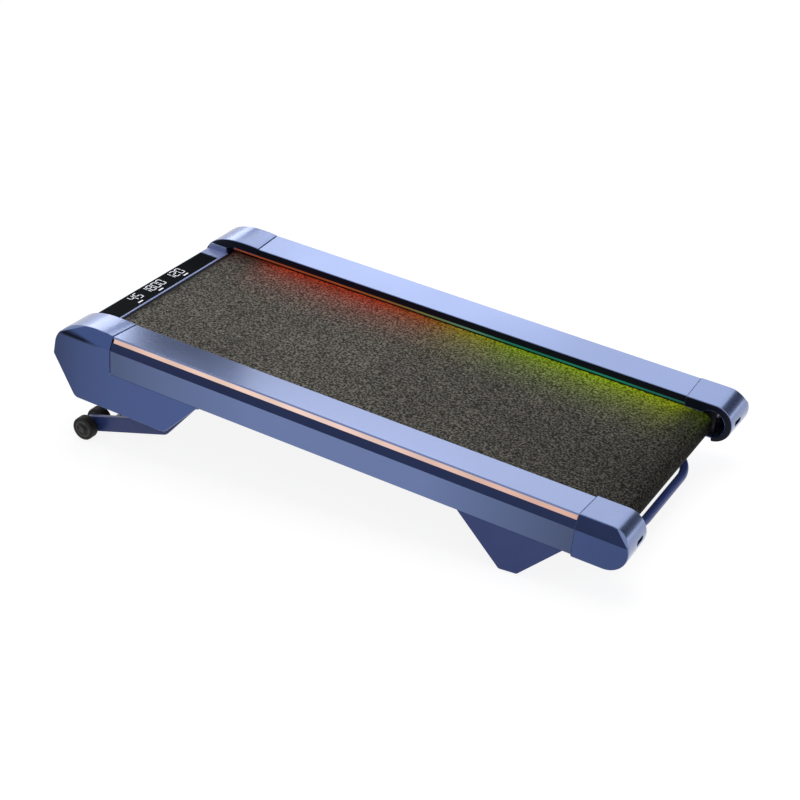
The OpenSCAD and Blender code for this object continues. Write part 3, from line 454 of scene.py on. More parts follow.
def walking_surface(settings):
    """PVC running belt with a fine embossed grain, with painted light from the strips beside it and painted shade.

    The grain is noise about 4 mm across, which is coarser than the real emboss so that it shows. The wash is
    painted light, an emission of the belt's own material that stands in for the strips' light falling on it: its
    colour runs along the pad with the strips', and it fades from the wall."""
    mat, tree, shader, place = start("pvc_belt_embossed")
    grain = add(tree, "TexNoise", {
        "Vector": place, "Scale": 1.0 / settings.belt_grain, "Detail": 2.5, "Roughness": 0.62})
    wide = add(tree, "TexNoise", {"Vector": place, "Scale": 9.0, "Detail": 2.0})
    tone = stops(add(tree, "ValToRGB", {"Fac": grain}), [
        (0.36, "#141413"), (0.45, settings.belt_dark), (0.55, settings.belt_light), (0.66, "#8C887C")])
    spread = add(tree, "MapRange", {"Value": wide, "From Min": 0.3, "From Max": 0.7, "To Min": 0.85, "To Max": 1.1})
    axes = add(tree, "SeparateXYZ", {"Vector": place}).outputs
    run = add(tree, "MapRange", {"Value": axes["X"], "From Min": -0.45, "From Max": 0.5})
    painted_glow = stops(add(tree, "ValToRGB", {"Fac": run}), [
        (0.0, "#300A02"), (0.07, "#962A0C"), (0.30, "#A22E0C"), (0.42, "#92460E"), (0.50, "#88780E"),
        (0.62, "#7A9408"), (0.80, "#86A006"), (0.96, "#8C9A04"), (1.0, "#384606")])
    # The wash fades away from each wall by a power of the share of its reach that is left, 36 mm on the near side
    far = add(tree, "MapRange", {
        "Value": axes["Y"], "From Min": INNER_Y * MM - settings.glow_reach, "From Max": BELT_W / 2 * MM})
    near = add(tree, "MapRange", {"Value": axes["Y"], "From Min": -0.165, "From Max": -BELT_W / 2 * MM})
    far_fade = add(tree, "Math", {0: far, 1: 3.1}, operation="POWER")
    near_fade = add(tree, "Math", {0: near, 1: 2.6}, operation="POWER")
    fade = add(tree, "Math", {0: far_fade, 1: near_fade}, operation="MAXIMUM")
    # Painted shade: the belt's own grey is darkened towards the walls, where the rails shade it and the painted light
    # lies
    painted_wall_shade = add(tree, "MapRange", {"Value": fade, "To Min": 1.0, "To Max": 0.15})
    dimmer = add(tree, "Math", {0: spread, 1: painted_wall_shade}, operation="MULTIPLY")
    # Painted shade: darker where the belt comes up out of the front end and towards the rear roller; the same shade
    # also damps the belt's gloss
    painted_end_shade = shares(tree, pad_axis(tree, place, 0), [
        (-75, 0.03), (-60, 0.06), (-52, 0.6), (-44, 1.0), (300, 1.0), (700, 0.78), (880, 0.62), (985, 0.3)])
    dimmed = add(tree, "Math", {0: dimmer, 1: painted_end_shade}, operation="MULTIPLY")
    sheen = add(tree, "Math", {0: painted_end_shade, 1: 0.15}, operation="MULTIPLY")
    base = add(tree, "VectorMath", {0: tone, "Scale": dimmed}, operation="SCALE")
    sparkle = add(tree, "MapRange", {
        "Value": grain, "From Min": 0.38, "From Max": 0.62, "To Min": 0.25, "To Max": 1.5})
    # Only the upper run is lit, which lies above 44 mm
    upper = add(tree, "MapRange", {"Value": pad_axis(tree, place, 2), "From Min": 32.0, "From Max": 44.0})
    lit_part = add(tree, "Math", {0: fade, 1: upper}, operation="MULTIPLY")
    power = add(tree, "Math", {0: lit_part, 1: sparkle}, operation="MULTIPLY")
    lit = add(tree, "VectorMath", {0: painted_glow, "Scale": power}, operation="SCALE")
    bump = add(tree, "Bump", {"Height": grain, "Strength": 0.7, "Distance": 0.5 * MM})
    wire(tree, shader, {
        "Base Color": base, "Specular IOR Level": sheen, "Emission Color": lit, "Normal": bump,
        "Emission Strength": settings.glow_power, "Roughness": 0.72, "IOR": 1.52})
    return mat


def lit_diffuser(name, colours, power, gloss=0.5):
    """Frosted polycarbonate over a row of small lamps.

    The colour runs along the pad through the given (share of the length, hex) stops, and a faint wave with a
    crest every 0.1 m, which is 2 pi / (20 scale), makes it uneven."""
    mat, tree, shader, place = start(name)
    axes = add(tree, "SeparateXYZ", {"Vector": place}).outputs
    run = add(tree, "MapRange", {"Value": axes["X"], "From Min": -0.5, "From Max": 0.5})
    tint = stops(add(tree, "ValToRGB", {"Fac": run}), colours)
    crest = add(tree, "TexWave", {"Vector": place, "Scale": 3.125}, wave_type="BANDS", bands_direction="X")
    even = add(tree, "MapRange", {"Value": crest.outputs["Fac"], "To Min": 0.93, "To Max": 1.03})
    light = add(tree, "VectorMath", {0: tint, "Scale": even}, operation="SCALE")
    wire(tree, shader, {
        "Emission Color": light, "Emission Strength": power, "Base Color": rgba((0.02,) * 3), "Roughness": 0.45,
        "IOR": 1.58, "Specular IOR Level": gloss})
    return mat


def smoked_glass():
    """Smoked acrylic display window: black, polished, with the least haze so that edges still catch light."""
    mat, tree, shader, place = start("smoked_acrylic")
    haze = add(tree, "TexNoise", {"Vector": place, "Scale": 40.0, "Detail": 2.0})
    rough = add(tree, "MapRange", {"Value": haze, "To Min": 0.2, "To Max": 0.3})
    deep = add(tree, "Mix", {"Factor": haze, "A": rgba("#0B1013"), "B": rgba("#0F1417")}, data_type="RGBA")
    wire(tree, shader, {"Base Color": deep, "Roughness": rough, "IOR": 1.49, "Specular IOR Level": 0.005})
    return mat


def lamp_ink(name, code, power):
    """Lit segments under the window: even light with a slightly soft grain of the diffuser ink."""
    mat, tree, shader, place = start(name)
    grain = add(tree, "TexNoise", {"Vector": place, "Scale": 900.0, "Detail": 1.0})
    tint = add(tree, "Mix", {"Factor": grain, "A": rgba(code), "B": rgba((1.0,) * 3)}, data_type="RGBA")
    wire(tree, shader, {
        "Emission Color": tint, "Emission Strength": power, "Base Color": (0.6, 0.62, 0.66, 1.0), "Roughness": 0.5})
    return mat


def make_finishes(settings):
    """All materials, each named for the real one and how its surface was made, or for the light or shade painted on
    it.
    """
    f = FINISHES
    paint, shade, side, rail = settings.paint, settings.paint_shade, settings.side_shaded_paint, (0.15, 1, 1)
    # Powder-fine metallic lacquer over extruded aluminium: satin, with a clear coat that takes soft highlights
    f["rail"] = grained("lacquered_aluminium_extrusion", paint, shade, 0.9, 0.17, 0.0001, metallic=0.85, coat=0.7,
                        stretch=rail, patch=160.0)
    # Painted shade: the rails' sides take a copy of the lacquer whose colour darkens towards both ends
    f["rail_side"] = grained("lacquered_aluminium_side", paint, shade, 0.9, 0.21, 0.0001, metallic=0.85, coat=0.05,
                             stretch=rail, patch=160.0, painted_shade=rail_side_painted_shade)
    # The same lacquer on moulded ABS, a touch smoother
    f["cap"] = grained("lacquered_abs", paint, shade, 0.8, 0.28, 0.0001, metallic=0.85, coat=0.6, patch=120.0)
    # Painted shade: the caps' sides take a darker copy of the lacquer, deeper towards the nose and the rear end
    f["cap_side"] = grained("lacquered_abs_side", side, side, 0.8, 0.25, 0.0001, metallic=0.8, coat=0.05,
                            patch=120.0, painted_shade=cap_side_painted_shade)
    # Painted shade: the front caps' bevels take the same darker copy of the lacquer, with a dark wedge along the
    # crease
    f["fold"] = grained("lacquered_abs_fold", side, side, 0.8, 0.3, 0.0001, metallic=0.6, patch=120.0, gloss=0.1,
                        painted_shade=crease_painted_shade)
    # Satin lacquer of the moulded bridge, which hardly mirrors the wall beside it
    f["bridge"] = grained("satin_lacquered_abs", "#8B97C6", "#8592C0", 0.8, 0.45, 0.001, metallic=0.2, patch=90.0)
    # Painted dark reflection: a darker colour on the band under the light strip and on the rear caps' bevels, where a
    # dark horizon would mirror
    f["band"] = grained("navy_lacquered_band", settings.band, "#2A3560", 0.9, 0.4, 0.01, patch=140.0, gloss=0.15)
    # Inner walls above the belt: painted shade, a near-black colour where the walls lie in shade
    f["inner_wall"] = grained("dark_moulded_wall", "#10142A", "#0C0F1C", 0.8, 0.45, 0.01, patch=90.0, gloss=0.2)
    # Powder-coated steel of the arm, the feet and the handle: fine orange peel
    f["navy"] = grained("powder_coated_steel_navy", "#465AA2", "#3F5396", 1.6, 0.42, 0.02, patch=70.0, gloss=0.35,
                        coat=0.15)
    # Matt black electrophoretic paint of the frame
    f["frame"] = grained("black_coated_steel_tube", "#1B1B1E", "#252529", 1.2, 0.5, 0.03, patch=90.0)
    # Textured ABS mouldings: a fine spark-eroded grain that keeps them dull, black or navy
    f["black"] = grained("textured_black_abs", "#17171A", "#202024", 0.7, 0.55, 0.05, ior=1.54, patch=50.0)
    f["tray"] = grained("textured_navy_abs", "#20243A", "#191C2D", 0.8, 0.52, 0.05, ior=1.54, patch=80.0)
    # Polyurethane tyre, slightly worn, its nylon hub and the paler ring that rubs bare
    f["tyre"] = grained("polyurethane_tyre", "#131317", "#1E1D1D", 1.1, 0.55, 0.06, patch=14.0, gloss=0.25)
    f["hub"] = grained("moulded_nylon_hub", "#1C1B1B", "#2A2826", 0.8, 0.42, 0.03, patch=10.0, gloss=0.3)
    f["hub_ring"] = grained("worn_nylon_ring", "#6A625A", "#4C4641", 0.8, 0.5, 0.03, patch=8.0, gloss=0.3)
    # Moulded rubber of the pads, the cushions and the drive belt: dull, with a dusty bloom
    f["rubber"] = grained("moulded_rubber", "#161617", "#1F1F20", 0.9, 0.75, 0.06, ior=1.52, patch=20.0)
    # Turned and zinc-plated steel: fine marks run round the turned face
    f["steel"] = grained("zinc_plated_steel", "#B9BBC0", "#A4A7AE", 0.35, 0.3, 0.01, metallic=1.0,
                         stretch=(1, 0.1, 1), patch=30.0)
    # Die-cast housings with a grey, slightly pitted skin
    f["alloy"] = grained("die_cast_aluminium", "#9B9DA3", "#86898F", 1.3, 0.48, 0.06, metallic=1.0, patch=40.0)
    # Oil-soaked sintered bushes: warm and dull
    f["bronze"] = grained("sintered_bronze", "#A8875A", "#8E7048", 0.5, 0.45, 0.03, metallic=1.0, patch=12.0)
    # Waxed fibreboard deck, black film on top
    f["deck"] = grained("phenolic_faced_fibreboard", "#2B241E", "#3A3028", 1.5, 0.35, 0.02, patch=35.0, speckle=0.25)
    # Glossy green mask over the tracks, which show as paler speckles
    f["board"] = grained("solder_masked_circuit_board", "#12491F", "#1A5C2A", 2.5, 0.3, 0.05, patch=9.0, speckle=0.2)
    # Polished red key of the mains switch, with a sharp highlight
    f["rocker"] = grained("polished_red_polycarbonate", "#9C1414", "#8A1010", 0.5, 0.2, 0.005, ior=1.58, patch=20.0)
    f["belt"] = walking_surface(settings)
    # Warm light on the bevels, palest at the middle, and a dim rainbow on the walls above the belt
    f["outer_light"] = lit_diffuser("frosted_polycarbonate_warm", [
        (0.0, "#DCB2A2"), (0.3, "#F0CCBC"), (0.5, "#F4D2C6"), (0.72, "#E4BCAE"), (1.0, "#DAA896")], 0.92)
    f["inner_light"] = lit_diffuser("frosted_polycarbonate_rainbow", [
        (0.0, "#80381A"), (0.12, "#84391A"), (0.25, "#8E3E18"), (0.36, "#7C4A1C"), (0.46, "#5E6A3C"),
        (0.54, "#4E7862"), (0.62, "#0C6A50"), (0.69, "#08684E"), (0.81, "#10745A"), (0.93, "#0C5E50"),
        (1.0, "#1A4A44")], 1.0, gloss=0.05)
    f["glass"] = smoked_glass()
    f["digits"] = lamp_ink("segment_diffuser_ink", "#E6ECFF", 0.6)


# ---- What a user would change ----


class WalkingPadShapes(bpy.types.PropertyGroup):
    """Sizes of the visible detail."""

    rail_edge: bpy.props.FloatProperty(
        name="Rail edge", description="Radius of the rails' long edges", default=0.0016, unit="LENGTH")
    cap_edge: bpy.props.FloatProperty(
        name="Cap edge", description="Radius of the end caps' edges", default=0.0026, unit="LENGTH")
    small_edge: bpy.props.FloatProperty(
        name="Small edge", description="Radius of the smaller pieces' edges", default=0.0008, unit="LENGTH")
    strip_crown: bpy.props.FloatProperty(
        name="Strip crown", description="Rise of a light strip's middle over its sides", default=0.0004,
        unit="LENGTH")
    tyre_shoulder: bpy.props.FloatProperty(
        name="Tyre shoulder", description="Radius of the wheels' shoulders", default=0.0035, unit="LENGTH")
    handle_edge: bpy.props.FloatProperty(
        name="Handle edge", description="Radius of the carry handle's edges", default=0.0048, unit="LENGTH")


class WalkingPadFinishes(bpy.types.PropertyGroup):
    """Colours, grain and lights."""

    paint: bpy.props.FloatVectorProperty(
        name="Lacquer", description="Colour of the rails and caps", subtype="COLOR", default=linear("#6E7FAC"))
    paint_shade: bpy.props.FloatVectorProperty(
        name="Lacquer shade", description="Colour of the lacquer's darker patches", subtype="COLOR",
        default=linear("#6879A6"))
    # Painted shade: the caps' sides take this darker copy of the lacquer
    side_shaded_paint: bpy.props.FloatVectorProperty(
        name="Cap side", description="Colour of the caps' sides, where the lacquer looks deeper", subtype="COLOR",
        default=linear("#4A5D92"))
    # Painted dark reflection: the band's colour stands in for a dark horizon mirrored on the bevels
    band: bpy.props.FloatVectorProperty(
        name="Band", description="Colour of the band under the light strip", subtype="COLOR",
        default=linear("#3B4B7C"))
    belt_dark: bpy.props.FloatVectorProperty(
        name="Belt, dark grain", description="Colour of the belt's hollows", subtype="COLOR",
        default=linear("#272623"))
    belt_light: bpy.props.FloatVectorProperty(
        name="Belt, light grain", description="Colour of the belt's crests", subtype="COLOR",
        default=linear("#67645D"))
    belt_grain: bpy.props.FloatProperty(
        name="Belt grain", description="Width of one grain of the belt", default=0.0040, unit="LENGTH")
    # The painted light on the belt: how far it reaches from the wall and how strong it is
    glow_reach: bpy.props.FloatProperty(
        name="Glow reach", description="Distance from the wall at which the light on the belt ends",
        default=0.20, unit="LENGTH")
    glow_power: bpy.props.FloatProperty(
        name="Glow power", description="Strength of the strips' light on the belt", default=0.8, subtype="FACTOR")


class WalkingPadStudio(bpy.types.PropertyGroup):
    """Floor and lamps."""

    floor_size: bpy.props.FloatProperty(
        name="Floor size", description="Length of the floor's side", default=30.0, unit="LENGTH")
    floor_white: bpy.props.FloatProperty(
        name="Floor white", description="Share of white that the eye and mirrors see on the floor", default=0.88,
        subtype="FACTOR")
    key_power: bpy.props.FloatProperty(
        name="Key power", description="Power of the soft light behind the pad", default=16.0, unit="POWER")
    nose_power: bpy.props.FloatProperty(
        name="Nose power", description="Power of the small light beyond the front end", default=8.0, unit="POWER")
    far_power: bpy.props.FloatProperty(
        name="Far power", description="Power of the low light whose image lies on the far rail", default=1.9,
        unit="POWER")
    end_power: bpy.props.FloatProperty(
        name="End power", description="Power of the low light that the rear ends show", default=2.0, unit="POWER")
    top_power: bpy.props.FloatProperty(
        name="Top power", description="Power of the soft light overhead", default=42.0, unit="POWER")
    fill_power: bpy.props.FloatProperty(
        name="Fill power", description="Power of the soft light at the rear near side", default=15.0, unit="POWER")
    world_level: bpy.props.FloatProperty(
        name="World level", description="Brightness of the even light all round", default=0.26, subtype="FACTOR")


# ---- Operators, one for each group of pieces ----

# Area lamps that mirrors show: place, the point looked at, and size, in metres. The nose lamp's image lies on the
# front caps, the far lamp's on the far rail and the end lamp's on the rear ends.
MIRRORED_LAMPS = {
    "key": ((-0.35, 2.9, 2.6), (0.05, 0.0, 0.15), (3.9, 2.2)),
    "nose": ((-2.95, 2.6, 1.9), (-0.5, -0.1, 0.25), (1.2, 0.9)),
    "far": ((-1.65, 2.75, 2.33), (-0.6, 0.2, 0.5), (2.0, 0.45)),
    "end": ((3.0, 2.6, 0.3), (1.0, 0.0, 0.1), (1.5, 0.55)),
}
# Area lamps that only brighten the pad
HIDDEN_LAMPS = {
    "top": ((0.0, 0.3, 3.2), (0.0, 0.0, 0.1), (2.6, 2.6)),
    "fill": ((2.6, -2.1, 1.3), (0.3, 0.0, 0.1), (2.6, 2.2)),
}
# Black cards, place and size: the near rail shows the front one as a dark stretch, and the rear one darkens the
# round ends' shoulders
FLAGS = {"front_flag": ((-2.11, 2.8, 1.72), (0.56, 1.0)), "rear_flag": ((2.1, 2.8, 1.65), (1.9, 2.0))}


class PadOperator:
    """What the operators share: they may be undone, and errors in them stop the script."""

    bl_options = {"REGISTER", "UNDO"}

    @property
    def shapes(self):
        return bpy.context.scene.walking_pad_shapes

    @property
    def studio(self):
        return bpy.context.scene.walking_pad_studio


class PAD_OT_studio(PadOperator, bpy.types.Operator):
    """Camera at the photograph's angle, a pale floor and soft lamps"""

    bl_idname = "pad.studio"
    bl_label = "Studio"

    def stand(self, obj, place, right, up, back):
        """Puts a lamp or the camera at a place in metres, with its own three axes along the directions."""
        turn = Matrix(np.column_stack([right, up, back]).tolist()).to_4x4()
        obj.matrix_world = Matrix.Translation(place) @ turn

    def lamp(self, name, place, aim, size, shape):
        """Soft area lamp at a place that looks at another one. Its power is the property of its name."""
        data = bpy.data.lights.new(f"{name}_softbox", "AREA")
        data.shape = shape
        data.size, data.size_y = size
        data.energy = getattr(self.studio, f"{name}_power")
        lamp = placed(data.name, data)
        back = unit(np.array(place) - np.array(aim))
        right = unit(np.cross([0.0, 0.0, 1.0] if abs(back[2]) < 0.99 else [0.0, 1.0, 0.0], back))
        self.stand(lamp, place, right, np.cross(back, right), back)
        return lamp

    def card(self, name, finish, corners):
        """Flat stage card, and the empty node tree of its material."""
        mesh = bpy.data.meshes.new(name)
        mesh.from_pydata(corners, [], [(0, 1, 2, 3)])
        mat = bpy.data.materials.new(finish)
        mat.use_nodes = True
        mat.node_tree.nodes.clear()
        mesh.materials.append(mat)
        card = placed(name, mesh)
        return card, mat.node_tree

    def flag(self, name, place, size):
        """Black upright card beside a lamp, which only mirrors see."""
        (x, y, z), (w, h) = place, (size[0] / 2, size[1] / 2)
        flag, tree = self.card(name, "black_felt", [
            (x - w, y, z - h), (x + w, y, z - h), (x + w, y, z + h), (x - w, y, z + h)])
        flag.visible_camera = flag.visible_diffuse = flag.visible_shadow = False
        felt = add(tree, "BsdfDiffuse", {"Color": rgba((0.0,) * 3)})
        add(tree, "OutputMaterial", {"Surface": felt})

    def looked_at(self, tree):
        """1 for rays of the eye, of mirrors and of clear things, and 0 for rays that carry light."""
        rays = add(tree, "LightPath").outputs
        seen = add(tree, "Math", {0: rays["Is Camera Ray"], 1: rays["Is Glossy Ray"]}, operation="MAXIMUM")
        return add(tree, "Math", {0: seen, 1: rays["Is Transmission Ray"]}, operation="MAXIMUM")

    def execute(self, context):
        scene = context.scene
        scene.view_settings.view_transform = "Standard"
        data = bpy.data.cameras.new("Camera")
        data.sensor_width = SENSOR_MM
        data.sensor_fit = "HORIZONTAL"
        data.lens = FOCAL_PX * SENSOR_MM / IMAGE_PX
        data.clip_end = 100.0
        scene.camera = placed("Camera", data)
        right, down, forward = turn_to_frame(EYE_AXES)
        self.stand(scene.camera, to_frame(EYE).tolist(), right, -down, -forward)

        half = self.studio.floor_size / 2
        _, tree = self.card("studio_floor", "white_seamless_paper", [
            (-half, -half, 0), (half, -half, 0), (half, half, 0), (-half, half, 0)])
        white = add(tree, "Math", {0: self.looked_at(tree), 1: self.studio.floor_white}, operation="MULTIPLY")
        paper = add(tree, "BsdfDiffuse", {"Color": (0.24, 0.24, 0.25, 1.0)})
        glow = add(tree, "Emission", {"Strength": white})
        add(tree, "OutputMaterial", {"Surface": add(tree, "AddShader", {0: paper, 1: glow})})

        scene.world = bpy.data.worlds.new("studio_world")
        scene.world.use_nodes = True
        tree = scene.world.node_tree
        tree.nodes.clear()
        level = add(tree, "MapRange", {
            "Value": self.looked_at(tree), "To Min": self.studio.world_level, "To Max": 1.0})
        sky = add(tree, "Background", {"Color": rgba((1.0,) * 3), "Strength": level})
        add(tree, "OutputWorld", {"Surface": sky})

        for name, (place, size) in FLAGS.items():
            self.flag(name, place, size)
        for name, row in MIRRORED_LAMPS.items():
            self.lamp(name, *row, "ELLIPSE")
        for name, row in HIDDEN_LAMPS.items():
            self.lamp(name, *row, "RECTANGLE").visible_glossy = False
        return {"FINISHED"}


class PAD_OT_rails(PadOperator, bpy.types.Operator):
    """Extruded side rails with a seat for each light strip, a painted dark reflection on the band below the outer
    one, and painted shade on the inner wall and the side
    """

    bl_idname = "pad.rails"
    bl_label = "Side rails"

    def execute(self, context):
        edge = mm(self.shapes.rail_edge)
        low, high, first, last, _, normal = strip_seat()
        sunk = normal * (LIGHT_DEPTH + 0.05)
        tube_top = TUBE_H + 0.05
        corners = [
            ([INNER_Y, LIP_Z], 0.8), ([TUBE_Y0 - 1, LIP_Z], 0), ([TUBE_Y0 - 1, tube_top], 0),
            ([SIDE_Y - RAIL_T, tube_top], 0), ([SIDE_Y - RAIL_T, RAIL_T], 0.5), ([TUBE_Y1 + 2, RAIL_T], 0.5),
            ([TUBE_Y1 + 2, 0], 0.5), ([SIDE_Y, 0], edge * 0.7), (low, edge), (first, 0.25), (first - sunk, 0),
            (last - sunk, 0), (last, 0.25), (high, edge), ([INNER_Y, INNER_TOP], edge * 0.8),
            ([INNER_Y, LED_Z1], 0.2), ([INNER_Y + LED_DEPTH, LED_Z1], 0), ([INNER_Y + LED_DEPTH, LED_Z0], 0),
            ([INNER_Y, LED_Z0], 0.2)]
        count = 7
        outline = round_corners([c for c, _ in corners], [r for _, r in corners], count)
        wall = RAIL_T + 1
        hollow = [
            [INNER_Y + wall, LIP_Z + RAIL_T], [TUBE_Y0 + 2, LIP_Z + RAIL_T], [TUBE_Y0 + 2, TUBE_H + RAIL_T],
            [SIDE_Y - RAIL_T, TUBE_H + RAIL_T], [SIDE_Y - wall, BEVEL_Z],
            [SIDE_Y - BEVEL_IN - RAIL_T - 2, RAIL_H - wall], [INNER_Y + wall, INNER_TOP - RAIL_T]]
        points, faces, marks = along_x(outline, np.linspace(SEAM, RAIL_L - END_GAP, 25), [hollow])
        # Faces by the outline point that they start at, count points to a corner. The side runs from its foot's
        # arc, corner 7, to the middle of the next arc, the band and the seat from there to corner 12, and the inner
        # wall with its groove from the end of corner 14's arc.
        foot, bend = 7 * count + count // 2, 8 * count + count // 2
        tones = np.select([marks >= 15 * count - 1, (marks >= bend) & (marks < 12 * count),
                           (marks >= foot) & (marks < bend)], [2, 1, 3], 0)
        # The band takes a painted dark reflection, the inner wall and the side painted shade
        for side, mirror in SIDES:
            piece(f"rail_{side}_extrusion", points, faces, ("rail", "band", "inner_wall", "rail_side"),
                  (f"rail_{side}",), tones=tones, sharp=24, mirror=mirror)
        return {"FINISHED"}


class PAD_OT_strips(PadOperator, bpy.types.Operator):
    """Frosted light strips with a slightly crowned face"""

    bl_idname = "pad.strips"
    bl_label = "Light strips"

    def section(self, foot, across, out, width, margin, count, sunk, back):
        """Face across a strip, a parabola of height crown (1 - (2 t - 1)^2) over its seat's edge, and its back."""
        t = np.linspace(margin, 1 - margin, count)[:, None]
        crown = mm(self.shapes.strip_crown) * (1 - (2 * t - 1) ** 2)
        return np.concatenate([foot + across * width * t + out * (crown - sunk), back])

    def execute(self, context):
        _, _, first, _, along, normal = strip_seat()
        back = [first + along * (LIGHT_W - 0.2) - normal * LIGHT_DEPTH, first + along * 0.2 - normal * LIGHT_DEPTH]
        outer = self.section(first, along, normal, LIGHT_W, 0.02, 13, 0.25, back)
        deep = INNER_Y + LED_DEPTH - 0.1
        inner = self.section(np.array([INNER_Y + 0.2, LED_Z0]), np.array([0.0, 1.0]), np.array([-1.0, 0.0]),
                             LED_Z1 - LED_Z0, 0.03, 9, 0.1, [[deep, LED_Z1 - 0.15], [deep, LED_Z0 + 0.15]])
        for kind, slot, outline, x0 in (("outer", "light_diffuser", outer, SEAM + 3),
                                        ("inner", "inner_diffuser", inner, LED_X0)):
            points, faces, _ = along_x(outline, np.linspace(x0, RAIL_L - 2, 40))
            for side, mirror in SIDES:
                piece(f"{kind}_light_{side}_diffuser", points, faces, (f"{kind}_light",),
                      (f"{kind}_light_{side}",), sharp=35, mirror=mirror)
        return {"FINISHED"}


class PAD_OT_belt(PadOperator, bpy.types.Operator):
    """Walking belt round both rollers, with rounded edges"""

    bl_idname = "pad.belt"
    bl_label = "Walking belt"

    def execute(self, context):
        # Path in (x, z): the top run, half a turn on the rear roller, the lower run, half a turn on the front one
        mid = (BELT_IN_R + BELT_OUT_R) / 2
        turn = np.linspace(np.pi / 2, -np.pi / 2, 41)
        bow = mid * np.stack([np.cos(turn), np.sin(turn)], -1)
        x = np.linspace(FRONT_ROLLER_X, REAR_ROLLER_X, 42)[1:-1]
        run = np.stack([x, np.full_like(x, ROLLER_Z)], -1)
        path = np.concatenate([run + [0, mid], bow + [REAR_ROLLER_X, ROLLER_Z], run[::-1] - [0, mid],
                               [FRONT_ROLLER_X, ROLLER_Z] - bow])
        ahead = unit(np.roll(path, -1, 0) - np.roll(path, 1, 0))
        normal = np.stack([-ahead[:, 1], ahead[:, 0]], -1)
        # Each place of the path holds the section: across the pad, and out along the path's normal
        section = round_bar(BELT_W, BELT_T, 0.7, 5)
        spot = path[:, None] + normal[:, None] * section[None, :, 1:]
        across = np.broadcast_to(section[:, 0], spot.shape[:2])
        grid = np.stack([spot[..., 0], across, spot[..., 1]], -1)
        faces = grid_faces(len(path), len(section), True, True).tolist()
        piece("walking_belt_loop", grid.reshape(-1, 3), faces, ("belt",), ("walking_belt",))
        return {"FINISHED"}


class PAD_OT_front(PadOperator, bpy.types.Operator):
    """Front housings, display bridge, its window and the lit figures"""

    bl_idname = "pad.front"
    bl_label = "Front end"

    def execute(self, context):
        edge, small = mm(self.shapes.cap_edge), mm(self.shapes.small_edge)
        # The caps' bevels take painted shade, their inner walls and sides painted shade too
        for side, _ in SIDES:
            softened(f"front_cap_{side}", f"front_housing_{side}", ("cap", "fold", "inner_wall", "cap_side"),
                     edge * 0.6, 3, 32, tone=cap_tones)
        softened("display_bridge", "bridge_cover", ("bridge",), small * 0.8, sharp=32)
        softened("display_window", "display_glass", ("glass",), 0.5)
        softened("display_figures", "display_digits", ("digits",), 0.12)
        return {"FINISHED"}


class PAD_OT_rear(PadOperator, bpy.types.Operator):
    """Rear caps and the carry handle"""

    bl_idname = "pad.rear"
    bl_label = "Rear end"

    def execute(self, context):
        # The caps' bevels take a painted dark reflection, their inner walls and sides painted shade
        for side, _ in SIDES:
            softened(f"rear_end_{side}", f"rear_cap_{side}", ("cap", "band", "inner_wall", "cap_side"),
                     mm(self.shapes.cap_edge), 4, 32, tone=cap_tones)
        # Middle line of the handle: an arc, a straight bar and an arc, level with the pad's underside
        r = HANDLE_ROUND - HANDLE_BAR / 2
        cx, cy = HANDLE_X1 - HANDLE_ROUND, HANDLE_W / 2 - HANDLE_ROUND
        a = np.linspace(math.acos((HANDLE_X0 - cx) / r), 0, 25)
        arc = np.stack([cx + r * np.cos(a), cy + r * np.sin(a)], -1)
        bar = np.stack([np.full(9, cx + r), np.linspace(cy, -cy, 11)[1:-1]], -1)
        plan = np.concatenate([arc, bar, arc[::-1] * [1, -1]])
        ahead = unit(np.gradient(plan, axis=0))
        count = len(plan)
        centres = np.column_stack([plan, np.full(count, (HANDLE_Z0 + HANDLE_Z1) / 2)])
        side = np.column_stack([-ahead[:, 1], ahead[:, 0], np.zeros(count)])
        up = np.tile([0.0, 0.0, 1.0], (count, 1))
        section = round_bar(HANDLE_BAR, HANDLE_Z1 - HANDLE_Z0, mm(self.shapes.handle_edge), 8)
        points, faces = along_path(centres, side, up, section)
        piece("carry_handle_bar", points, faces, ("navy",), ("carry_handle",))
        return {"FINISHED"}


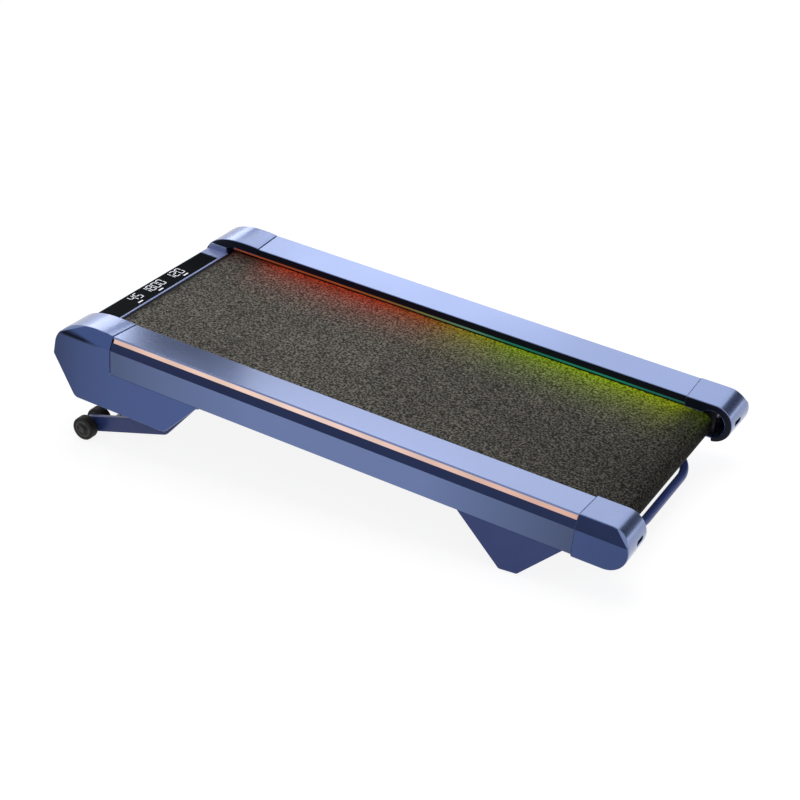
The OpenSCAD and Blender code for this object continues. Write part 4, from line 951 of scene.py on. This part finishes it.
class PAD_OT_lift(PadOperator, bpy.types.Operator):
    """Lift arms, wheels with tyre and hub, and the axles"""

    bl_idname = "pad.lift"
    bl_label = "Lift arm and wheels"

    def wheel(self, side, row, y0, mirror):
        """Wheel turned about its axle: a tyre with round shoulders and a dished, ribbed hub."""
        r, w, s = WHEEL_R, WHEEL_W, mm(self.shapes.tyre_shoulder)
        bore = AXLE_R + 0.05
        a = np.linspace(0, np.pi / 2, 7)[1:]
        b = a - a[0]
        # Three shallow grooves round the tread
        grooves = [np.array([[-0.9, r], [-0.45, r - 0.6], [0.45, r - 0.6], [0.9, r]]) + [w * share, 0]
                   for share in (0.3, 0.5, 0.7)]
        tyre = np.concatenate([
            [[0.4, 16.2], [0.0, 17.2], [0.0, r - s]], np.stack([s - s * np.cos(a), r - s + s * np.sin(a)], -1),
            *grooves, np.stack([w - s + s * np.sin(b), r - s + s * np.cos(b)], -1),
            [[w, r - s], [w, 17.2], [w - 0.4, 16.2]]])
        hub = [[w - 0.7, 15.6], [w - 0.7, 13.6], [w - 1.1, 13.0], [w - 2.2, 12.2], [w - 2.2, 9.0], [w - 0.6, 7.8],
               [w, 7.2], [w, bore], [0.0, bore], [0.0, 7.2], [0.6, 7.8], [2.2, 9.0], [2.2, 12.2], [1.1, 13.0],
               [0.7, 13.6], [0.7, 15.6]]
        profile = np.concatenate([tyre, hub]) + [y0, 0]
        points, faces = turned(profile, WHEEL[0], WHEEL[1], 72)
        # Ribs: the dish rises where a five-beat cosine peaks, between the hub's boss and its ring
        local = points[:, [0, 2]] - WHEEL
        radius = np.hypot(local[:, 0], local[:, 1])
        beat = np.clip(np.cos(5 * np.arctan2(local[:, 1], local[:, 0])) * 3 - 1.2, 0, 1)
        lift = np.where((radius > 8.9) & (radius < 12.3), beat * 1.5, 0.0)
        points[:, 1] += np.where(points[:, 1] > y0 + w / 2, lift, -lift)
        # Finishes along the profile: 0 the tyre, 2 the ring beside it on both faces, 1 the hub
        kind = np.arange(len(faces)) % len(profile)
        ring = (kind >= len(profile) - 2) | ((kind >= len(tyre) - 1) & (kind < len(tyre) + 2))
        tones = np.select([ring, kind < len(tyre)], [2, 0], 1)
        node = f"wheel_{side}_{row}"
        piece(f"{node}_turned", points, faces, ("tyre", "hub", "hub_ring"), (node,), node,
              tones=tones, sharp=35, mirror=mirror)

    def execute(self, context):
        for side, mirror in SIDES:
            softened(f"lift_arm_{side}_plate", f"lift_arm_{side}", ("navy",),
                     mm(self.shapes.small_edge) * 1.6, 3, body="lift_arm")
            self.wheel(side, "outer", OUTER_WHEEL_Y, mirror)
            self.wheel(side, "inner", INNER_WHEEL_Y, mirror)
        softened("lift_cross_bar", "lift_cross_tube", ("navy",), 0.4, body="lift_arm")
        softened("wheel_axle_set", "wheel_axles", ("black",), 0.7, body="lift_arm")
        return {"FINISHED"}


class PAD_OT_feet(PadOperator, bpy.types.Operator):
    """Rear feet and the rubber pads under all feet"""

    bl_idname = "pad.feet"
    bl_label = "Feet"

    def execute(self, context):
        for side, _ in SIDES:
            softened(f"rear_foot_{side}_shell", f"rear_foot_{side}", ("navy",),
                     mm(self.shapes.small_edge) * 2, 3)
        softened("floor_pad_set", "floor_pads", ("rubber",), 0.6)
        return {"FINISHED"}


class PAD_OT_under(PadOperator, bpy.types.Operator):
    """Underside mouldings, sockets and the screws that hold them"""

    bl_idname = "pad.under"
    bl_label = "Underside"

    def screws(self, name, places):
        """Pan heads that look down, with a six-lobed socket.

        A head is a polar grid: its height falls as sqrt(1 - (r / R)^2) does, and inside the socket, whose edge
        is 0.44 R (1 + 0.16 cos 6a), it sinks to a flat floor."""
        r = np.array([0.0, 0.2, 0.34, 0.46, 0.54, 0.66, 0.8, 0.92, 1.0, 1.0])
        a = np.linspace(0, 2 * np.pi, 36, endpoint=False)
        rr, aa = np.meshgrid(r, a, indexing="ij")
        dome = SCREW_H * (0.45 + 0.55 * np.sqrt(np.clip(1 - rr ** 2, 0, 1)))
        socket = rr < 0.44 * (1 + 0.16 * np.cos(6 * aa))
        down = np.where(socket, dome - 0.55 * SCREW_H, dome)
        down[-1] = 0.0
        head = np.stack([rr * SCREW_R * np.cos(aa), rr * SCREW_R * np.sin(aa), -down], -1).reshape(-1, 3)
        points = (np.array(places)[:, None] + head).reshape(-1, 3)
        quads = grid_faces(len(r), len(a), wrap_cols=True)
        seat = np.arange(len(head) - len(a), len(head))
        faces = []
        for first in range(0, len(points), len(head)):
            faces += (quads + first).tolist() + [(seat + first).tolist()]
        piece(name, points, faces, ("steel",))

    def execute(self, context):
        softened("motor_tray", "belly_tray", ("tray",), mm(self.shapes.small_edge), sharp=32)
        softened("deck_underside", "underside_cover", ("black",), 0.3)
        softened("mains_socket", "power_inlet", ("black",), 0.5)
        softened("mains_switch", "power_switch", ("black",), 0.5)
        softened("mains_rocker", "switch_rocker", ("rocker",), 0.6, 3, body="rocker")
        self.screws("cover_screws", [(x, y, -6.6) for x in (80.0, 483.0, 884.0) for y in (-219.0, 219.0)])
        self.screws("tray_screws", [(-25.0, -236.0, -8.0), (-25.0, 236.0, -8.0), (-4.0, -120.0, -8.0),
                                    (-4.0, 0.0, -8.0), (-4.0, 120.0, -8.0)])
        return {"FINISHED"}


# CAD pieces that keep their shape, by finish
CAD_FINISHES = {
    "frame": ["side_tube_left", "side_tube_right", "cross_tube_front", "cross_tube_middle", "cross_tube_rear",
              "lift_beam", "rear_beam", "pivot_brackets"],
    "deck": ["deck_board"],
    "rubber": ["deck_cushions", "drive_belt"],
    "steel": ["deck_screws", "front_roller", "front_roller_shaft", "rear_roller", "rear_roller_shaft",
              "roller_bearings", "motor_rotor", "motor_bracket", "tension_bolts", "lift_torque_tube", "lift_rod"],
    "alloy": ["front_roller_pulley", "drive_motor", "motor_pulley", "controller_box", "lift_actuator"],
    "bronze": ["pivot_bushes"],
    "board": ["display_board"],
}


class PAD_OT_inside(PadOperator, bpy.types.Operator):
    """Finishes of the frame, the drive and the other CAD pieces that keep their shape"""

    bl_idname = "pad.inside"
    bl_label = "Frame and drive"

    def execute(self, context):
        for finish, nodes in CAD_FINISHES.items():
            for name in nodes:
                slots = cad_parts[name].data.materials
                for i in range(len(slots)):
                    slots[i] = FINISHES[finish]
                if not len(slots):
                    slots.append(FINISHES[finish])
        return {"FINISHED"}


OPERATORS = (PAD_OT_studio, PAD_OT_rails, PAD_OT_strips, PAD_OT_belt, PAD_OT_front, PAD_OT_rear, PAD_OT_lift,
             PAD_OT_feet, PAD_OT_under, PAD_OT_inside)
GROUPS = {"walking_pad_shapes": WalkingPadShapes, "walking_pad_finishes": WalkingPadFinishes,
          "walking_pad_studio": WalkingPadStudio}


class PAD_PT_panel(bpy.types.Panel):
    """Lists the steps and what may be changed"""

    bl_idname = "PAD_PT_panel"
    bl_label = "Walking pad"
    bl_space_type = "VIEW_3D"
    bl_region_type = "UI"
    bl_category = "Walking pad"

    def draw(self, context):
        for name in GROUPS:
            group = getattr(context.scene, name)
            for key in group.__annotations__:
                self.layout.prop(group, key)
        for operator in OPERATORS:
            self.layout.operator(operator.bl_idname)


def register():
    for cls in (*GROUPS.values(), *OPERATORS, PAD_PT_panel):
        bpy.utils.register_class(cls)
    for name, cls in GROUPS.items():
        setattr(bpy.types.Scene, name, bpy.props.PointerProperty(type=cls))


def unregister():
    for name in GROUPS:
        delattr(bpy.types.Scene, name)
    for cls in reversed((*GROUPS.values(), *OPERATORS, PAD_PT_panel)):
        bpy.utils.unregister_class(cls)


def main():
    """Registers the add-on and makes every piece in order."""
    register()
    make_finishes(bpy.context.scene.walking_pad_finishes)
    for operator in OPERATORS:
        group, name = operator.bl_idname.split(".")
        getattr(getattr(bpy.ops, group), name)()


if __name__ == "__main__":
    main()
